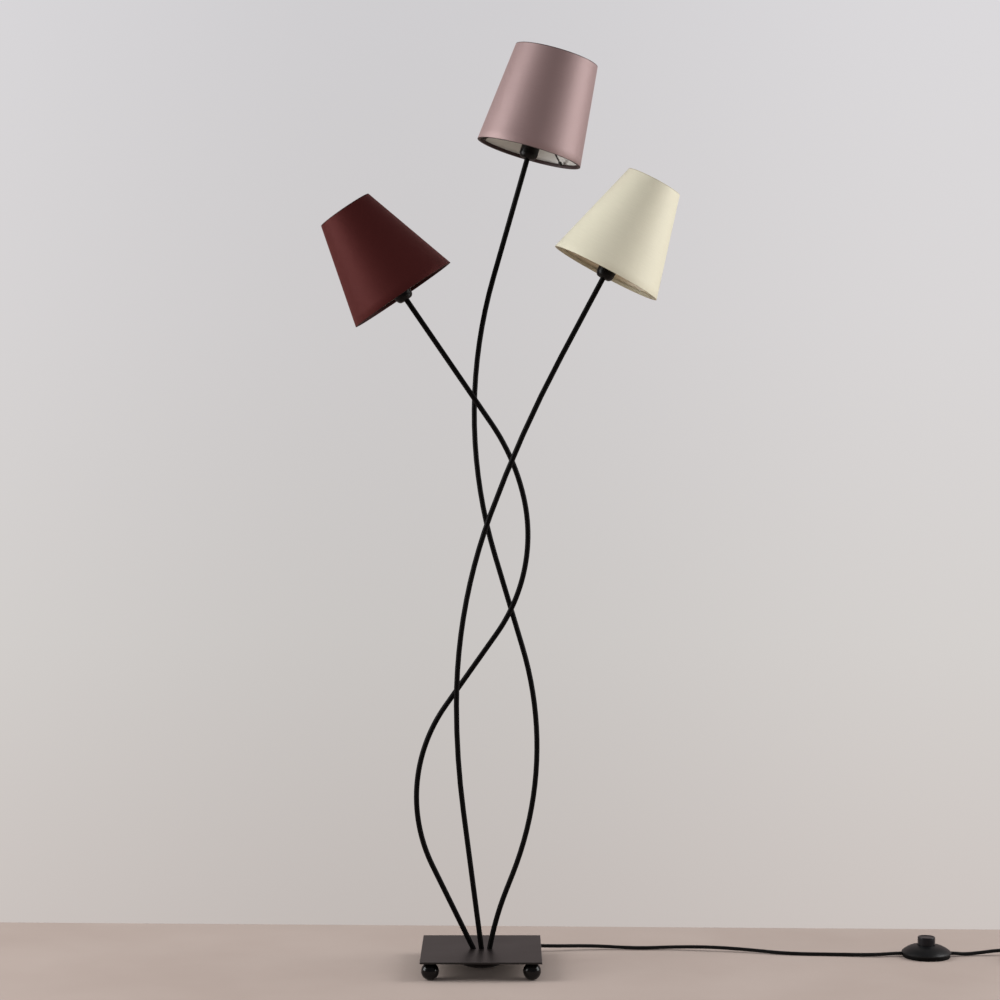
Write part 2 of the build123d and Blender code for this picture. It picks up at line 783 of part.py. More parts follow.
with BuildPart() as switch_base:
    with BuildSketch(Plane.XY):
        with Locations((switch_x, switch_y)):
            Circle(switch_base_radius)
    extrude(amount=switch_base_height)
    with BuildSketch(Plane.XY.offset(switch_wall)):
        with Locations((switch_x, switch_y)):
            Circle(switch_base_radius - switch_wall)
    extrude(amount=switch_base_height - switch_wall, mode=Mode.SUBTRACT)
    with BuildSketch(Plane.XY.offset(switch_wall)):
        with Locations((switch_x, switch_y)):
            with Locations(*boss_places):
                Circle(switch_boss_diameter / 2)
    extrude(amount=boss_top - switch_wall)
    with BuildSketch(Plane.XY):
        with Locations((switch_x, switch_y)):
            with Locations(*boss_places):
                Circle(switch_screw_diameter / 2 + cord_clearance)
    extrude(amount=boss_top, mode=Mode.SUBTRACT)
    with BuildSketch(Plane.XY):
        with Locations((switch_x, switch_y)):
            with Locations(*boss_places):
                Circle(switch_screw_head_diameter / 2 + cord_clearance)
    extrude(amount=switch_screw_head_height, mode=Mode.SUBTRACT)
    with BuildSketch(Plane.YZ.offset(switch_x - switch_radius)):
        with Locations((switch_y, switch_entry_height)):
            Circle(cord_slot_radius)
    extrude(amount=switch_diameter, mode=Mode.SUBTRACT)
save(switch_base, "switch_base")

with BuildPart() as switch_cover:
    with BuildSketch(switch_plane):
        with BuildLine():
            outer_dome = dome_arc(0)
            inner_dome = dome_arc(switch_wall)
            Line(outer_dome @ 1, inner_dome @ 1)
            Polyline(
                outer_dome @ 0,
                (switch_radius, switch_base_height),
                (switch_radius - switch_wall, switch_base_height),
                inner_dome @ 0,
            )
        make_face()
    revolve(axis=switch_axis)
    with BuildSketch(Plane.XY.offset(boss_top)):
        with Locations((switch_x, switch_y)):
            with Locations(*boss_places):
                Circle(switch_boss_diameter / 2)
    extrude(amount=cover_boss_height)
    with BuildSketch(Plane.XY.offset(boss_top)):
        with Locations((switch_x, switch_y)):
            with Locations(*boss_places):
                Circle(switch_screw_diameter / 2 + thread_clearance)
    extrude(amount=switch_screw_grip, mode=Mode.SUBTRACT)
    with BuildSketch(Plane.YZ.offset(switch_x - switch_radius)):
        with Locations((switch_y, switch_entry_height)):
            Circle(cord_slot_radius)
    extrude(amount=switch_diameter, mode=Mode.SUBTRACT)
save(switch_cover, "switch_cover")

with BuildPart() as switch_screws:
    with BuildSketch(Plane.XY):
        with Locations((switch_x, switch_y)):
            with Locations(*boss_places):
                Circle(switch_screw_head_diameter / 2)
    extrude(amount=switch_screw_head_height)
    with BuildSketch(Plane.XY):
        with Locations((switch_x, switch_y)):
            with Locations(*boss_places):
                Circle(switch_screw_diameter / 2)
    extrude(amount=boss_top + switch_screw_grip - thread_clearance)
save(switch_screws, "switch_screws")

mechanism_top = switch_wall + mechanism_height
with BuildPart() as switch_mechanism:
    with BuildSketch(Plane.XY.offset(switch_wall)):
        with Locations((switch_x, switch_y)):
            Rectangle(mechanism_length, mechanism_width)
    extrude(amount=mechanism_height)
    with BuildSketch(Plane.XY.offset(mechanism_top)):
        with Locations((switch_x, switch_y)):
            Circle(spring_post_diameter / 2)
    extrude(amount=spring_post_height)
save(switch_mechanism, "switch_mechanism")

button_stop = switch_dome_height - switch_wall - button_clearance
button_foot = button_stop - button_flange_height - button_rest_gap
with BuildPart() as switch_button:
    with BuildSketch(switch_plane):
        with BuildLine():
            Polyline(
                (0, button_top - button_dish),
                (button_radius - button_edge_radius - button_dish_slope, button_top - button_dish),
                (button_radius - button_edge_radius, button_top),
                (button_radius - button_edge_radius / 4, button_top - button_edge_radius / 4),
                (button_radius, button_top - button_edge_radius),
                (button_radius, button_foot + button_flange_height),
                (button_flange_diameter / 2, button_foot + button_flange_height),
                (button_flange_diameter / 2, button_foot),
                (button_radius - button_wall, button_foot),
                (button_radius - button_wall, button_top - button_dish - button_wall),
                (0, button_top - button_dish - button_wall),
                close=True,
            )
        make_face()
    revolve(axis=switch_axis)
save(switch_button, "switch_button")

spring_foot = mechanism_top + spring_wire / 2 + thread_clearance
spring_room = button_top - button_dish - button_wall - mechanism_top
spring_height = spring_room - spring_wire - 2 * thread_clearance
with BuildPart() as switch_spring:
    with BuildLine() as spring_line:
        Helix(
            spring_height / spring_turns,
            spring_height,
            spring_diameter / 2,
            center=(switch_x, switch_y, spring_foot),
        )
    with BuildSketch(Plane(origin=spring_line.line @ 0, z_dir=spring_line.line % 0)):
        Circle(spring_wire / 2)
    sweep(path=spring_line.line)
save(switch_spring, "switch_spring")

# Cord routes, as points chosen by hand along the floor. The ends come from what they meet.
mechanism_end = mechanism_length / 2
bush_bend_radius = bush_tail_end_radius + bush_lead
lamp_route = [
    (exit_dir.X * cord_start_radius, exit_dir.Y * cord_start_radius, exit_height),
    (exit_dir.X * bush_bend_radius, exit_dir.Y * bush_bend_radius, exit_height),
    (42.5, 86.0, 11.4),
    (71.5, 104.5, 9.8),
    (113.0, 108.0, 8.0),
    (172.0, 120.0, 6.0),
    (242.0, 116.0, 2.8),
    (300.0, 118.0, 4.6),
    (352.0, 108.5, 6.6),
    (408.0, 100.5, 4.6),
    (471.0, 80.0, 2.7),
    (548.0, 75.0, 2.8),
    (603.0, 68.0, 3.6),
    (638.0, switch_y, switch_entry_height),
    (switch_x - mechanism_end, switch_y, switch_entry_height),
]
coil_top_height = floor_cord_height + coil_pitch
supply_route = [
    (switch_x + mechanism_end, switch_y, switch_entry_height),
    (723.0, switch_y, switch_entry_height),
    (743.0, 76.0, 2.8),
    (768.0, 77.5, 5.2),
    (795.0, 78.6, 8.3),
    (818.0, coil_entry_y, coil_top_height),
    (coil_x - coil_end_straight, coil_entry_y, coil_top_height),
]


def cord_tube(route, label):
    """Sweep the cord along straight runs joined by the largest tangent arcs, and print them."""
    radii = []
    for before, corner, after in zip(route, route[1:], route[2:]):
        run_in = Vector(corner) - Vector(before)
        run_out = Vector(after) - Vector(corner)
        half_turn = math.radians(run_in.get_angle(run_out)) / 2
        radii.append(arc_share * min(run_in.length, run_out.length) / math.tan(half_turn))
    with BuildPart() as tube:
        with BuildLine() as line:
            FilletPolyline(*route, radius=radii)
        with BuildSketch(Plane(origin=line.line @ 0, z_dir=line.line % 0)):
            Circle(cord_diameter / 2)
        sweep()
    save(tube, label)
    report_tube(label, tube.part, line.wire().length, radii)


def report_tube(label, solid, length, radii):
    section = math.pi * cord_diameter**2 / 4
    print(label, "length", round(length, 1), "arc radii", [round(radius) for radius in radii])
    print(label, "volume over section times length", round(solid.volume / section / length, 5))


cord_tube(lamp_route, "switch_cord")
cord_tube(supply_route, "supply_cord")

# The spare cord, wound as one unbroken tube: in along the upper layer and out along the lower.
half_pitch = coil_pitch / 2
coil_entry_radius = coil_inner_radius + coil_top_half_turns * half_pitch
with BuildPart() as cord_coil:
    with BuildLine() as coil_line:
        start = Vector(coil_x, coil_entry_y, coil_top_height)
        Line(start - Vector(coil_end_straight, 0, 0), start)
        coil_radii = []
        # Each half turn runs clockwise from the back to the front or from the front to the back.
        way = -1
        for step in range(coil_top_half_turns):
            radius = coil_entry_radius - step * half_pitch
            end = start + Vector(0, 2 * radius * way, 0)
            ThreePointArc(start, (start + end) * 0.5 + Vector(-radius * way, 0, 0), end)
            coil_radii.append(radius)
            start, way = end, -way
        # The reversal comes down a layer, on two quarter arcs that meet at half the height.
        drop = Vector(0, 0, -coil_pitch)
        end = start + Vector(0, 2 * coil_inner_radius * way, 0) + drop
        reach = math.sqrt(coil_inner_radius**2 + (coil_pitch / 2) ** 2)
        middle = (start + end) * 0.5 + Vector(-reach * way, 0, 0)
        TangentArc(start, middle, tangent=Vector(-way, 0, 0))
        TangentArc(end, middle, tangent=Vector(-way, 0, 0))
        coil_radii.append(coil_inner_radius)
        start, way = end, -way
        for step in range(coil_bottom_half_turns):
            radius = coil_inner_radius + (step + 1) * half_pitch
            end = start + Vector(0, 2 * radius * way, 0)
            ThreePointArc(start, (start + end) * 0.5 + Vector(-radius * way, 0, 0), end)
            coil_radii.append(radius)
            start, way = end, -way
        # A last quarter turn lays the cord towards the front.
        radius += half_pitch
        coil_radii.append(radius)
        last = JernArc(start, (1, 0, 0), radius, -90)
        coil_end = last @ 1
        Line(coil_end, coil_end - Vector(0, coil_end_straight, 0))
    with BuildSketch(Plane(origin=coil_line.line @ 0, z_dir=coil_line.line % 0)):
        Circle(cord_diameter / 2)
    sweep()
save(cord_coil, "cord_coil")
coil_wire = coil_line.wire()
report_tube("cord_coil", cord_coil.part, coil_wire.length, coil_radii)

# Least gap of the coil to itself, between points more than a few diameters apart along it.
coil_points = [coil_wire @ (index / gap_samples) for index in range(gap_samples + 1)]
apart = math.ceil(gap_skip * cord_diameter / (coil_wire.length / gap_samples))
least = min(
    (coil_points[a] - coil_points[b]).length
    for a in range(gap_samples + 1)
    for b in range(a + apart, gap_samples + 1)
)
print("cord_coil least gap to itself", round(least - cord_diameter, 2))

# Plug, lying flat beside the coil with its pins to the front.
plug_x = coil_end.X
tail_start = coil_end.Y - coil_end_straight
relief_start = tail_start - plug_tail_length
plug_height = plug_thickness / 2
tail_route = [
    (plug_x, tail_start, floor_cord_height),
    (plug_x, tail_start - plug_tail_flat, floor_cord_height),
    (plug_x, tail_start - plug_tail_rise_end, plug_height),
    (plug_x, relief_start, plug_height),
]
cord_tube(tail_route, "plug_cord")

def plug_plane(y):
    """Upright plane across the plug's axis, with its Z to the back."""
    return Plane(origin=(plug_x, y, plug_height), x_dir=(1, 0, 0), z_dir=(0, 1, 0))


with BuildPart() as plug:
    plug_back = relief_start - plug_relief_length
    plug_face = plug_back - plug_length
    shoulder = plug_face + plug_shoulder_length
    with BuildSketch(Plane.XY):
        with BuildLine():
            Polyline(
                (plug_x - plug_width / 2 + plug_edge_radius, plug_face),
                (plug_x + plug_width / 2 - plug_edge_radius, plug_face),
                (plug_x + plug_width / 2, plug_face + plug_edge_radius),
                (plug_x + plug_width / 2, shoulder),
                (plug_x + plug_waist / 2, plug_back),
                (plug_x - plug_waist / 2, plug_back),
                (plug_x - plug_width / 2, shoulder),
                (plug_x - plug_width / 2, plug_face + plug_edge_radius),
                close=True,
            )
        make_face()
    extrude(amount=plug_thickness)
    long_edges = plug.faces().filter_by(Plane.XY).edges().filter_by(Axis.Y, reverse=True)
    fillet(long_edges.filter_by(lambda edge: edge.center().Y > plug_face + plug_relief_sink), plug_edge_radius)
    with BuildSketch(plug_plane(plug_back + plug_relief_sink)):
        Circle(plug_waist / 2 - plug_waist_step)
    with BuildSketch(plug_plane(relief_start)):
        Circle(plug_relief_end_diameter / 2)
    loft()
    with BuildSketch(plug_plane(plug_face)):
        with GridLocations(plug_pin_spacing, 1, 2, 1):
            Circle(plug_pin_root_diameter / 2 + thread_clearance)
    extrude(amount=plug_pin_root, mode=Mode.SUBTRACT)
save(plug, "plug")

with BuildPart() as plug_pins:
    with BuildSketch(plug_plane(plug_face - plug_pin_length)):
        with GridLocations(plug_pin_spacing, 1, 2, 1):
            Circle(plug_pin_diameter / 2)
    extrude(amount=plug_pin_length)
    with BuildSketch(plug_plane(plug_face)):
        with GridLocations(plug_pin_spacing, 1, 2, 1):
            Circle(plug_pin_root_diameter / 2)
    extrude(amount=plug_pin_root)
    tips = plug_pins.faces().group_by(Axis.Y)[0].edges()
    fillet(tips, plug_pin_diameter / 4)
save(plug_pins, "plug_pins")
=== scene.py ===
"""Dresses the tree floor lamp: three crossing black stems, each with a tilted fabric shade."""

import math

import bmesh
import bpy
from mathutils import Matrix, Vector


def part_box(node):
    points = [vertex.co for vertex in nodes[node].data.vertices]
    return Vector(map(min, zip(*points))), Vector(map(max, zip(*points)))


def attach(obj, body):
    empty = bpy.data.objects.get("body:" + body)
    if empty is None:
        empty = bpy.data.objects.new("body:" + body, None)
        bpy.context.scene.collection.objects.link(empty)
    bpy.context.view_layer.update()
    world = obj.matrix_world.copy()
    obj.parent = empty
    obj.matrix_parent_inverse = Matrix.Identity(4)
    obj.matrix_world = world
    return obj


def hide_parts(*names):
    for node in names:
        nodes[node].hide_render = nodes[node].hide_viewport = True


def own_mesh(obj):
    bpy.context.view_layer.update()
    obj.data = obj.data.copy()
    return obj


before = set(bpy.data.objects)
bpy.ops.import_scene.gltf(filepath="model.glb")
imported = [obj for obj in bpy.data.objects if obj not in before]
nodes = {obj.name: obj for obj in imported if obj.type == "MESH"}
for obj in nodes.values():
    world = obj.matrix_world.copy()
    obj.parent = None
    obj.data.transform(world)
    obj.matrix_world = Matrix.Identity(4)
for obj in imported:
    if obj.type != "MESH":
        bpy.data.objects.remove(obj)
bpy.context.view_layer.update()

# Room. A pale floor meets a pale grey wall 0.3 m behind the lamp, and two large soft windows
# light it from its left and its right, so the middle of each shade is its darkest part. The
# wall is a glow that only its front shows, so it neither shades nor hides the lamp's back. Its
# glow holds painted shade, darker and warmer towards the floor, and painted light, brighter
# towards its sides.
wall_place = 0.288
wall_turn = math.radians(-1.9)
wall_foot = -0.22
wall_head = 0.20
wall_heart = -0.043
wall_spread = 0.26
painted_middle_light = 0.98
painted_side_light = 1.11
camera_place = (0.0279, -3.481, 0.823)

camera_data = bpy.data.cameras.new("camera")
camera_data.lens = 83.4
camera_data.sensor_width = 36
camera_data.shift_y = -0.08
camera = bpy.data.objects.new("camera", camera_data)
camera.location = camera_place
camera.rotation_euler = (math.radians(90), 0, 0)
bpy.context.scene.collection.objects.link(camera)
bpy.context.scene.camera = camera
bpy.context.scene.view_settings.view_transform = "Standard"


def link(tree, source, output, target, socket):
    """Join one node's output to another's input in a material."""
    tree.links.new(source.outputs[output], target.inputs[socket])


def ramp(tree, stops):
    """Colour ramp with stops of place and colour."""
    node = tree.nodes.new("ShaderNodeValToRGB")
    bands = node.color_ramp.elements
    while len(bands) < len(stops):
        bands.new(0.5)
    for band, (place, colour) in zip(bands, stops):
        band.position = place
        band.color = colour
    return node


def calculated(tree, operation, *operands):
    """Math node on some operands, each of them a number or a node's output."""
    node = tree.nodes.new("ShaderNodeMath")
    node.operation = operation
    for socket, operand in zip(node.inputs, operands):
        if isinstance(operand, (int, float)):
            socket.default_value = operand
        else:
            tree.links.new(operand, socket)
    return node.outputs["Value"]


def painted_wall_light(tree, sight):
    """Wall colour along a sight line: painted shade, darker and warmer, at its foot; painted light
    at its sides.
    """
    split = tree.nodes.new("ShaderNodeSeparateXYZ")
    tree.links.new(sight, split.inputs["Vector"])
    across, away, up = (split.outputs[axis] for axis in "XYZ")
    across_squared = calculated(tree, "POWER", across, 2)
    away_squared = calculated(tree, "POWER", away, 2)
    level = calculated(tree, "SQRT", calculated(tree, "ADD", across_squared, away_squared))
    rise = tree.nodes.new("ShaderNodeMapRange")
    rise.inputs["From Min"].default_value = wall_foot
    rise.inputs["From Max"].default_value = wall_head
    tree.links.new(calculated(tree, "DIVIDE", up, level), rise.inputs["Value"])
    # Painted shade: the wall is darker and warmer towards its foot.
    tone = ramp(
        tree,
        [
            (0.0, (0.545, 0.497, 0.473, 1)),
            (0.30, (0.598, 0.573, 0.556, 1)),
            (0.62, (0.628, 0.609, 0.612, 1)),
            (1.0, (0.642, 0.630, 0.648, 1)),
        ],
    )
    link(tree, rise, "Result", tone, "Fac")
    # Painted light: the wall is brighter towards its sides than at its middle.
    bearing = calculated(tree, "DIVIDE", across, level)
    aside = calculated(tree, "ABSOLUTE", calculated(tree, "SUBTRACT", bearing, wall_heart))
    glow = tree.nodes.new("ShaderNodeMapRange")
    glow.interpolation_type = "SMOOTHSTEP"
    glow.inputs["From Min"].default_value = 0.0
    glow.inputs["From Max"].default_value = wall_spread
    glow.inputs["To Min"].default_value = painted_middle_light
    glow.inputs["To Max"].default_value = painted_side_light
    tree.links.new(aside, glow.inputs["Value"])
    shade = tree.nodes.new("ShaderNodeVectorMath")
    shade.operation = "SCALE"
    link(tree, tone, "Color", shade, 0)
    link(tree, glow, "Result", shade, "Scale")
    return shade.outputs["Vector"]


sky_least = 0.14
sky_fill = 0.40
mirrored_start = 0.3
mirrored_end = 0.8
mirrored_glow = 0.29
world = bpy.data.worlds.new("studio")
bpy.context.scene.world = world
world.use_nodes = True
sky = world.node_tree
sky.nodes.clear()
sky_out = sky.nodes.new("ShaderNodeOutputWorld")
sky_light = sky.nodes.new("ShaderNodeBackground")
sky_wall = sky.nodes.new("ShaderNodeBackground")
sky_mix = sky.nodes.new("ShaderNodeMixShader")
sky_path = sky.nodes.new("ShaderNodeLightPath")
sky_place = sky.nodes.new("ShaderNodeTexCoord")
sky.links.new(painted_wall_light(sky, sky_place.outputs["Generated"]), sky_wall.inputs["Color"])
sky_split = sky.nodes.new("ShaderNodeSeparateXYZ")
link(sky, sky_place, "Generated", sky_split, "Vector")
behind = sky.nodes.new("ShaderNodeMapRange")
behind.interpolation_type = "SMOOTHSTEP"
behind.inputs["From Min"].default_value = mirrored_start
behind.inputs["From Max"].default_value = mirrored_end
behind.inputs["To Max"].default_value = mirrored_glow
link(sky, sky_split, "Y", behind, "Value")
mirrored = calculated(sky, "MULTIPLY", behind.outputs["Result"], sky_path.outputs["Is Glossy Ray"])
sky_tint = ramp(sky, [(0.0, (0.98, 0.97, 1.0, 1)), (mirrored_glow, (1.0, 0.84, 0.82, 1))])
sky.links.new(mirrored, sky_tint.inputs["Fac"])
link(sky, sky_tint, "Color", sky_light, "Color")
filled = calculated(sky, "MULTIPLY_ADD", sky_path.outputs["Is Diffuse Ray"], sky_fill, sky_least)
sky.links.new(calculated(sky, "ADD", filled, mirrored), sky_light.inputs["Strength"])
link(sky, sky_path, "Is Camera Ray", sky_mix, "Fac")
link(sky, sky_light, "Background", sky_mix, 1)
link(sky, sky_wall, "Background", sky_mix, 2)
link(sky, sky_mix, "Shader", sky_out, "Surface")

room_reach = 400
floor_fade_start = 1.3
floor_fade_end = 2.7


def sheet(name, finish, place):
    """Flat sheet of the room at its place, far larger than any view shows, in a finish."""
    shape = bmesh.new()
    bmesh.ops.create_grid(shape, x_segments=1, y_segments=1, size=room_reach)
    bmesh.ops.transform(shape, matrix=place, verts=shape.verts)
    mesh = bpy.data.meshes.new(name)
    shape.to_mesh(mesh)
    shape.free()
    mesh.materials.append(finish)
    piece = bpy.data.objects.new(name, mesh)
    bpy.context.scene.collection.objects.link(piece)
    return piece


floor_finish = bpy.data.materials.new("floor")
floor_finish.use_nodes = True
tree = floor_finish.node_tree
screed = tree.nodes["Principled BSDF"]
screed.inputs["Roughness"].default_value = 1
screed.inputs["Specular IOR Level"].default_value = 0
floor_place = tree.nodes.new("ShaderNodeTexCoord")
floor_clouds = tree.nodes.new("ShaderNodeTexNoise")
floor_clouds.inputs["Scale"].default_value = 3.5
floor_clouds.inputs["Detail"].default_value = 3
floor_tone = ramp(tree, [(0.3, (0.385, 0.315, 0.278, 1)), (0.7, (0.42, 0.349, 0.311, 1))])
link(tree, floor_place, "Object", floor_clouds, "Vector")
link(tree, floor_clouds, "Fac", floor_tone, "Fac")
link(tree, floor_tone, "Color", screed, "Base Color")
floor_reach = tree.nodes.new("ShaderNodeVectorMath")
floor_reach.operation = "LENGTH"
link(tree, floor_place, "Object", floor_reach, 0)
floor_fade = tree.nodes.new("ShaderNodeMapRange")
floor_fade.interpolation_type = "SMOOTHSTEP"
floor_fade.inputs["From Min"].default_value = floor_fade_start
floor_fade.inputs["From Max"].default_value = floor_fade_end
link(tree, floor_reach, "Value", floor_fade, "Value")
floor_glow = tree.nodes.new("ShaderNodeEmission")
floor_glow.inputs["Color"].default_value = (0.468, 0.386, 0.347, 1)
floor_path = tree.nodes.new("ShaderNodeLightPath")
floor_mix = tree.nodes.new("ShaderNodeMixShader")
in_view = floor_path.outputs["Is Camera Ray"]
faded = calculated(tree, "MULTIPLY", floor_fade.outputs["Result"], in_view)
tree.links.new(faded, floor_mix.inputs["Fac"])
link(tree, screed, "BSDF", floor_mix, 1)
link(tree, floor_glow, "Emission", floor_mix, 2)
link(tree, floor_mix, "Shader", tree.nodes["Material Output"], "Surface")
floor = sheet("floor", floor_finish, Matrix.Identity(4))

wall_finish = bpy.data.materials.new("wall")
wall_finish.use_nodes = True
tree = wall_finish.node_tree
tree.nodes.remove(tree.nodes["Principled BSDF"])
wall_point = tree.nodes.new("ShaderNodeTexCoord")
wall_sight = tree.nodes.new("ShaderNodeVectorMath")
wall_sight.operation = "SUBTRACT"
wall_sight.inputs[1].default_value = camera_place
link(tree, wall_point, "Object", wall_sight, 0)
wall_glow = tree.nodes.new("ShaderNodeEmission")
tree.links.new(painted_wall_light(tree, wall_sight.outputs["Vector"]), wall_glow.inputs["Color"])
wall_back = tree.nodes.new("ShaderNodeBsdfTransparent")
wall_side = tree.nodes.new("ShaderNodeNewGeometry")
wall_mix = tree.nodes.new("ShaderNodeMixShader")
link(tree, wall_side, "Backfacing", wall_mix, "Fac")
link(tree, wall_glow, "Emission", wall_mix, 1)
link(tree, wall_back, "BSDF", wall_mix, 2)
link(tree, wall_mix, "Shader", tree.nodes["Material Output"], "Surface")
wall_stand = (
    Matrix.Translation((0, wall_place, room_reach))
    @ Matrix.Rotation(wall_turn, 4, "Z")
    @ Matrix.Rotation(math.radians(90), 4, "X")
)
wall_sheet = sheet("wall", wall_finish, wall_stand)
wall_sheet.visible_diffuse = False
wall_sheet.visible_glossy = False
wall_sheet.visible_transmission = False
wall_sheet.visible_shadow = False

window_height = 3.1
window_aim = Vector((0, 0, 1.1))
for side, place, width, power in (
    ("left", (-3.0, -0.40, 1.85), 1.8, 116),
    ("right", (3.0, -0.08, 1.75), 1.7, 90),
):
    window_data = bpy.data.lights.new(f"window_{side}", "AREA")
    window_data.shape = "RECTANGLE"
    window_data.size = width
    window_data.size_y = window_height
    window_data.energy = power
    window = bpy.data.objects.new(f"window_{side}", window_data)
    window.location = place
    towards = window_aim - Vector(place)
    window.rotation_euler = towards.to_track_quat("-Z", "Y").to_euler()
    bpy.context.scene.collection.objects.link(window)

# Cord from the base to the foot switch. A smooth round flex comes out of the bush under the
# plate and lies in easy curves on the floor, held a little up where it is stiff.
cord_width = 0.0054
bush_heading = math.radians(65)
exit_height = 0.012
switch_place = Vector((0.682, 0.073, 0))
entry_height = 0.0052


def along_bush(reach):
    """Point on the line on which the cord leaves the base."""
    return (reach * math.cos(bush_heading), reach * math.sin(bush_heading), exit_height)


def flex(name, points):
    """Round cord on a smooth line with these control points."""
    line = bpy.data.curves.new(name, "CURVE")
    line.dimensions = "3D"
    line.bevel_depth = 1
    line.bevel_resolution = 6
    line.resolution_u = 10
    line.use_fill_caps = True
    spline = line.splines.new("NURBS")
    spline.points.add(len(points) - 1)
    for point, place in zip(spline.points, points):
        point.co = (*place, 1)
        point.radius = cord_width / 2
    spline.order_u = 3
    spline.use_endpoint_u = True
    piece = bpy.data.objects.new(name, line)
    bpy.context.scene.collection.objects.link(piece)
    return piece


lamp_route = [
    along_bush(0.030),
    along_bush(0.060),
    along_bush(0.075),
    (0.0425, 0.086, 0.0114),
    (0.0715, 0.1045, 0.0098),
    (0.113, 0.108, 0.008),
    (0.172, 0.120, 0.006),
    (0.242, 0.116, 0.0028),
    (0.300, 0.118, 0.0046),
    (0.352, 0.1085, 0.0066),
    (0.408, 0.1005, 0.0046),
    (0.471, 0.080, 0.0027),
    (0.548, 0.075, 0.0028),
    (0.603, 0.068, 0.0036),
    (0.638, 0.073, entry_height),
    (0.659, 0.073, entry_height),
]
lamp_flex = flex("lamp_flex", lamp_route)
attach(lamp_flex, "stand")
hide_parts("switch_cord")

# Cord from the foot switch to the plug. What the photograph doesn't show is wound in a neat
# coil of two layers beside the plug, in along the upper layer and out along the lower one.
coil_centre_x = 0.842
coil_entry_y = 0.079
coil_pitch = 0.0059
coil_inner_radius = 0.0225
upper_half_turns = 5
lower_half_turns = 6
low_layer = cord_width / 2
high_layer = low_layer + coil_pitch
turn_steps = 6
step_angle = math.pi / turn_steps
plug_run_height = 0.00685

supply_route = [
    (0.705, 0.073, entry_height),
    (0.723, 0.073, entry_height),
    (0.743, 0.076, 0.0028),
    (0.768, 0.0775, 0.0052),
    (0.795, 0.0786, 0.0083),
    (0.818, coil_entry_y, high_layer),
    (0.8364, coil_entry_y, high_layer),
]
half_turns = [
    *(
        coil_inner_radius + (upper_half_turns - turn) * coil_pitch / 2
        for turn in range(upper_half_turns)
    ),
    coil_inner_radius,
    *(coil_inner_radius + (turn + 1) * coil_pitch / 2 for turn in range(lower_half_turns)),
]
start_y = coil_entry_y
way = -1
for turn, radius in enumerate(half_turns):
    for step in range(turn_steps):
        angle = (step + 0.5) * step_angle
        reach = radius / math.cos(step_angle / 2)
        if turn < upper_half_turns:
            height = high_layer
        elif turn == upper_half_turns:
            height = high_layer - coil_pitch * (1 - math.cos(angle)) / 2
        else:
            height = low_layer
        centre_y = start_y + way * radius
        supply_route.append(
            (
                coil_centre_x - way * reach * math.sin(angle),
                centre_y - way * reach * math.cos(angle),
                height,
            )
        )
    start_y += 2 * way * radius
    way = -way
last_radius = half_turns[-1] + coil_pitch / 2
for step in range(turn_steps // 2):
    angle = (step + 0.5) * step_angle
    reach = last_radius / math.cos(step_angle / 2)
    supply_route.append(
        (
            coil_centre_x + reach * math.sin(angle),
            start_y - last_radius + reach * math.cos(angle),
            low_layer,
        )
    )
coil_end_x = coil_centre_x + last_radius
coil_end_y = start_y - last_radius
plug_run = (
    (0.0056, low_layer), (0.0206, low_layer),
    (0.0386, plug_run_height), (0.0536, plug_run_height),
)
supply_route += [(coil_end_x, coil_end_y - reach, height) for reach, height in plug_run]
plug_flex = flex("plug_flex", supply_route)
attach(plug_flex, "stand")
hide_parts("supply_cord", "cord_coil", "plug_cord")

# Cord finish. The flex has a smooth matt black sheath that keeps a faint drag from the die it
# was drawn through. The leads inside the stems have the same sheath.


def coated(
    name, colour, roughness, grain_size, grain_depth, drift=0.25, specular=0.5, metallic=0
):
    """Finish of one colour with a fine grain in its surface and a slow drift in its tone."""
    finish = bpy.data.materials.new(name)
    finish.use_nodes = True
    tree = finish.node_tree
    shader = tree.nodes["Principled BSDF"]
    shader.inputs["Specular IOR Level"].default_value = specular
    shader.inputs["Metallic"].default_value = metallic
    place = tree.nodes.new("ShaderNodeTexCoord")
    patches = tree.nodes.new("ShaderNodeTexNoise")
    patches.inputs["Scale"].default_value = 14
    patches.inputs["Detail"].default_value = 4
    tone = ramp(
        tree,
        [
            (0.3, (*(part * (1 - drift) for part in colour), 1)),
            (0.7, (*(part * (1 + drift) for part in colour), 1)),
        ],
    )
    rub = tree.nodes.new("ShaderNodeMapRange")
    rub.inputs["To Min"].default_value = roughness * 0.85
    rub.inputs["To Max"].default_value = min(roughness * 1.15, 1)
    grain = tree.nodes.new("ShaderNodeTexNoise")
    grain.inputs["Scale"].default_value = 1 / grain_size
    grain.inputs["Detail"].default_value = 2
    relief = tree.nodes.new("ShaderNodeBump")
    relief.inputs["Distance"].default_value = grain_depth
    relief.inputs["Strength"].default_value = 0.6
    link(tree, place, "Object", patches, "Vector")
    link(tree, place, "Object", grain, "Vector")
    link(tree, patches, "Fac", tone, "Fac")
    link(tree, patches, "Fac", rub, "Value")
    link(tree, tone, "Color", shader, "Base Color")
    link(tree, rub, "Result", shader, "Roughness")
    link(tree, grain, "Fac", relief, "Height")
    link(tree, relief, "Normal", shader, "Normal")
    return finish


def wear(finish, *names):
    """Give CAD nodes a finish."""
    for name in names:
        nodes[name].data.materials.clear()
        nodes[name].data.materials.append(finish)


cord_finish = coated(
    "cord_black", (0.0042, 0.004, 0.004), 0.5, 0.0012, 0.0001, specular=0.15
)
for piece in (lamp_flex, plug_flex):
    piece.data.materials.append(cord_finish)
wear(cord_finish, "stem_leads")
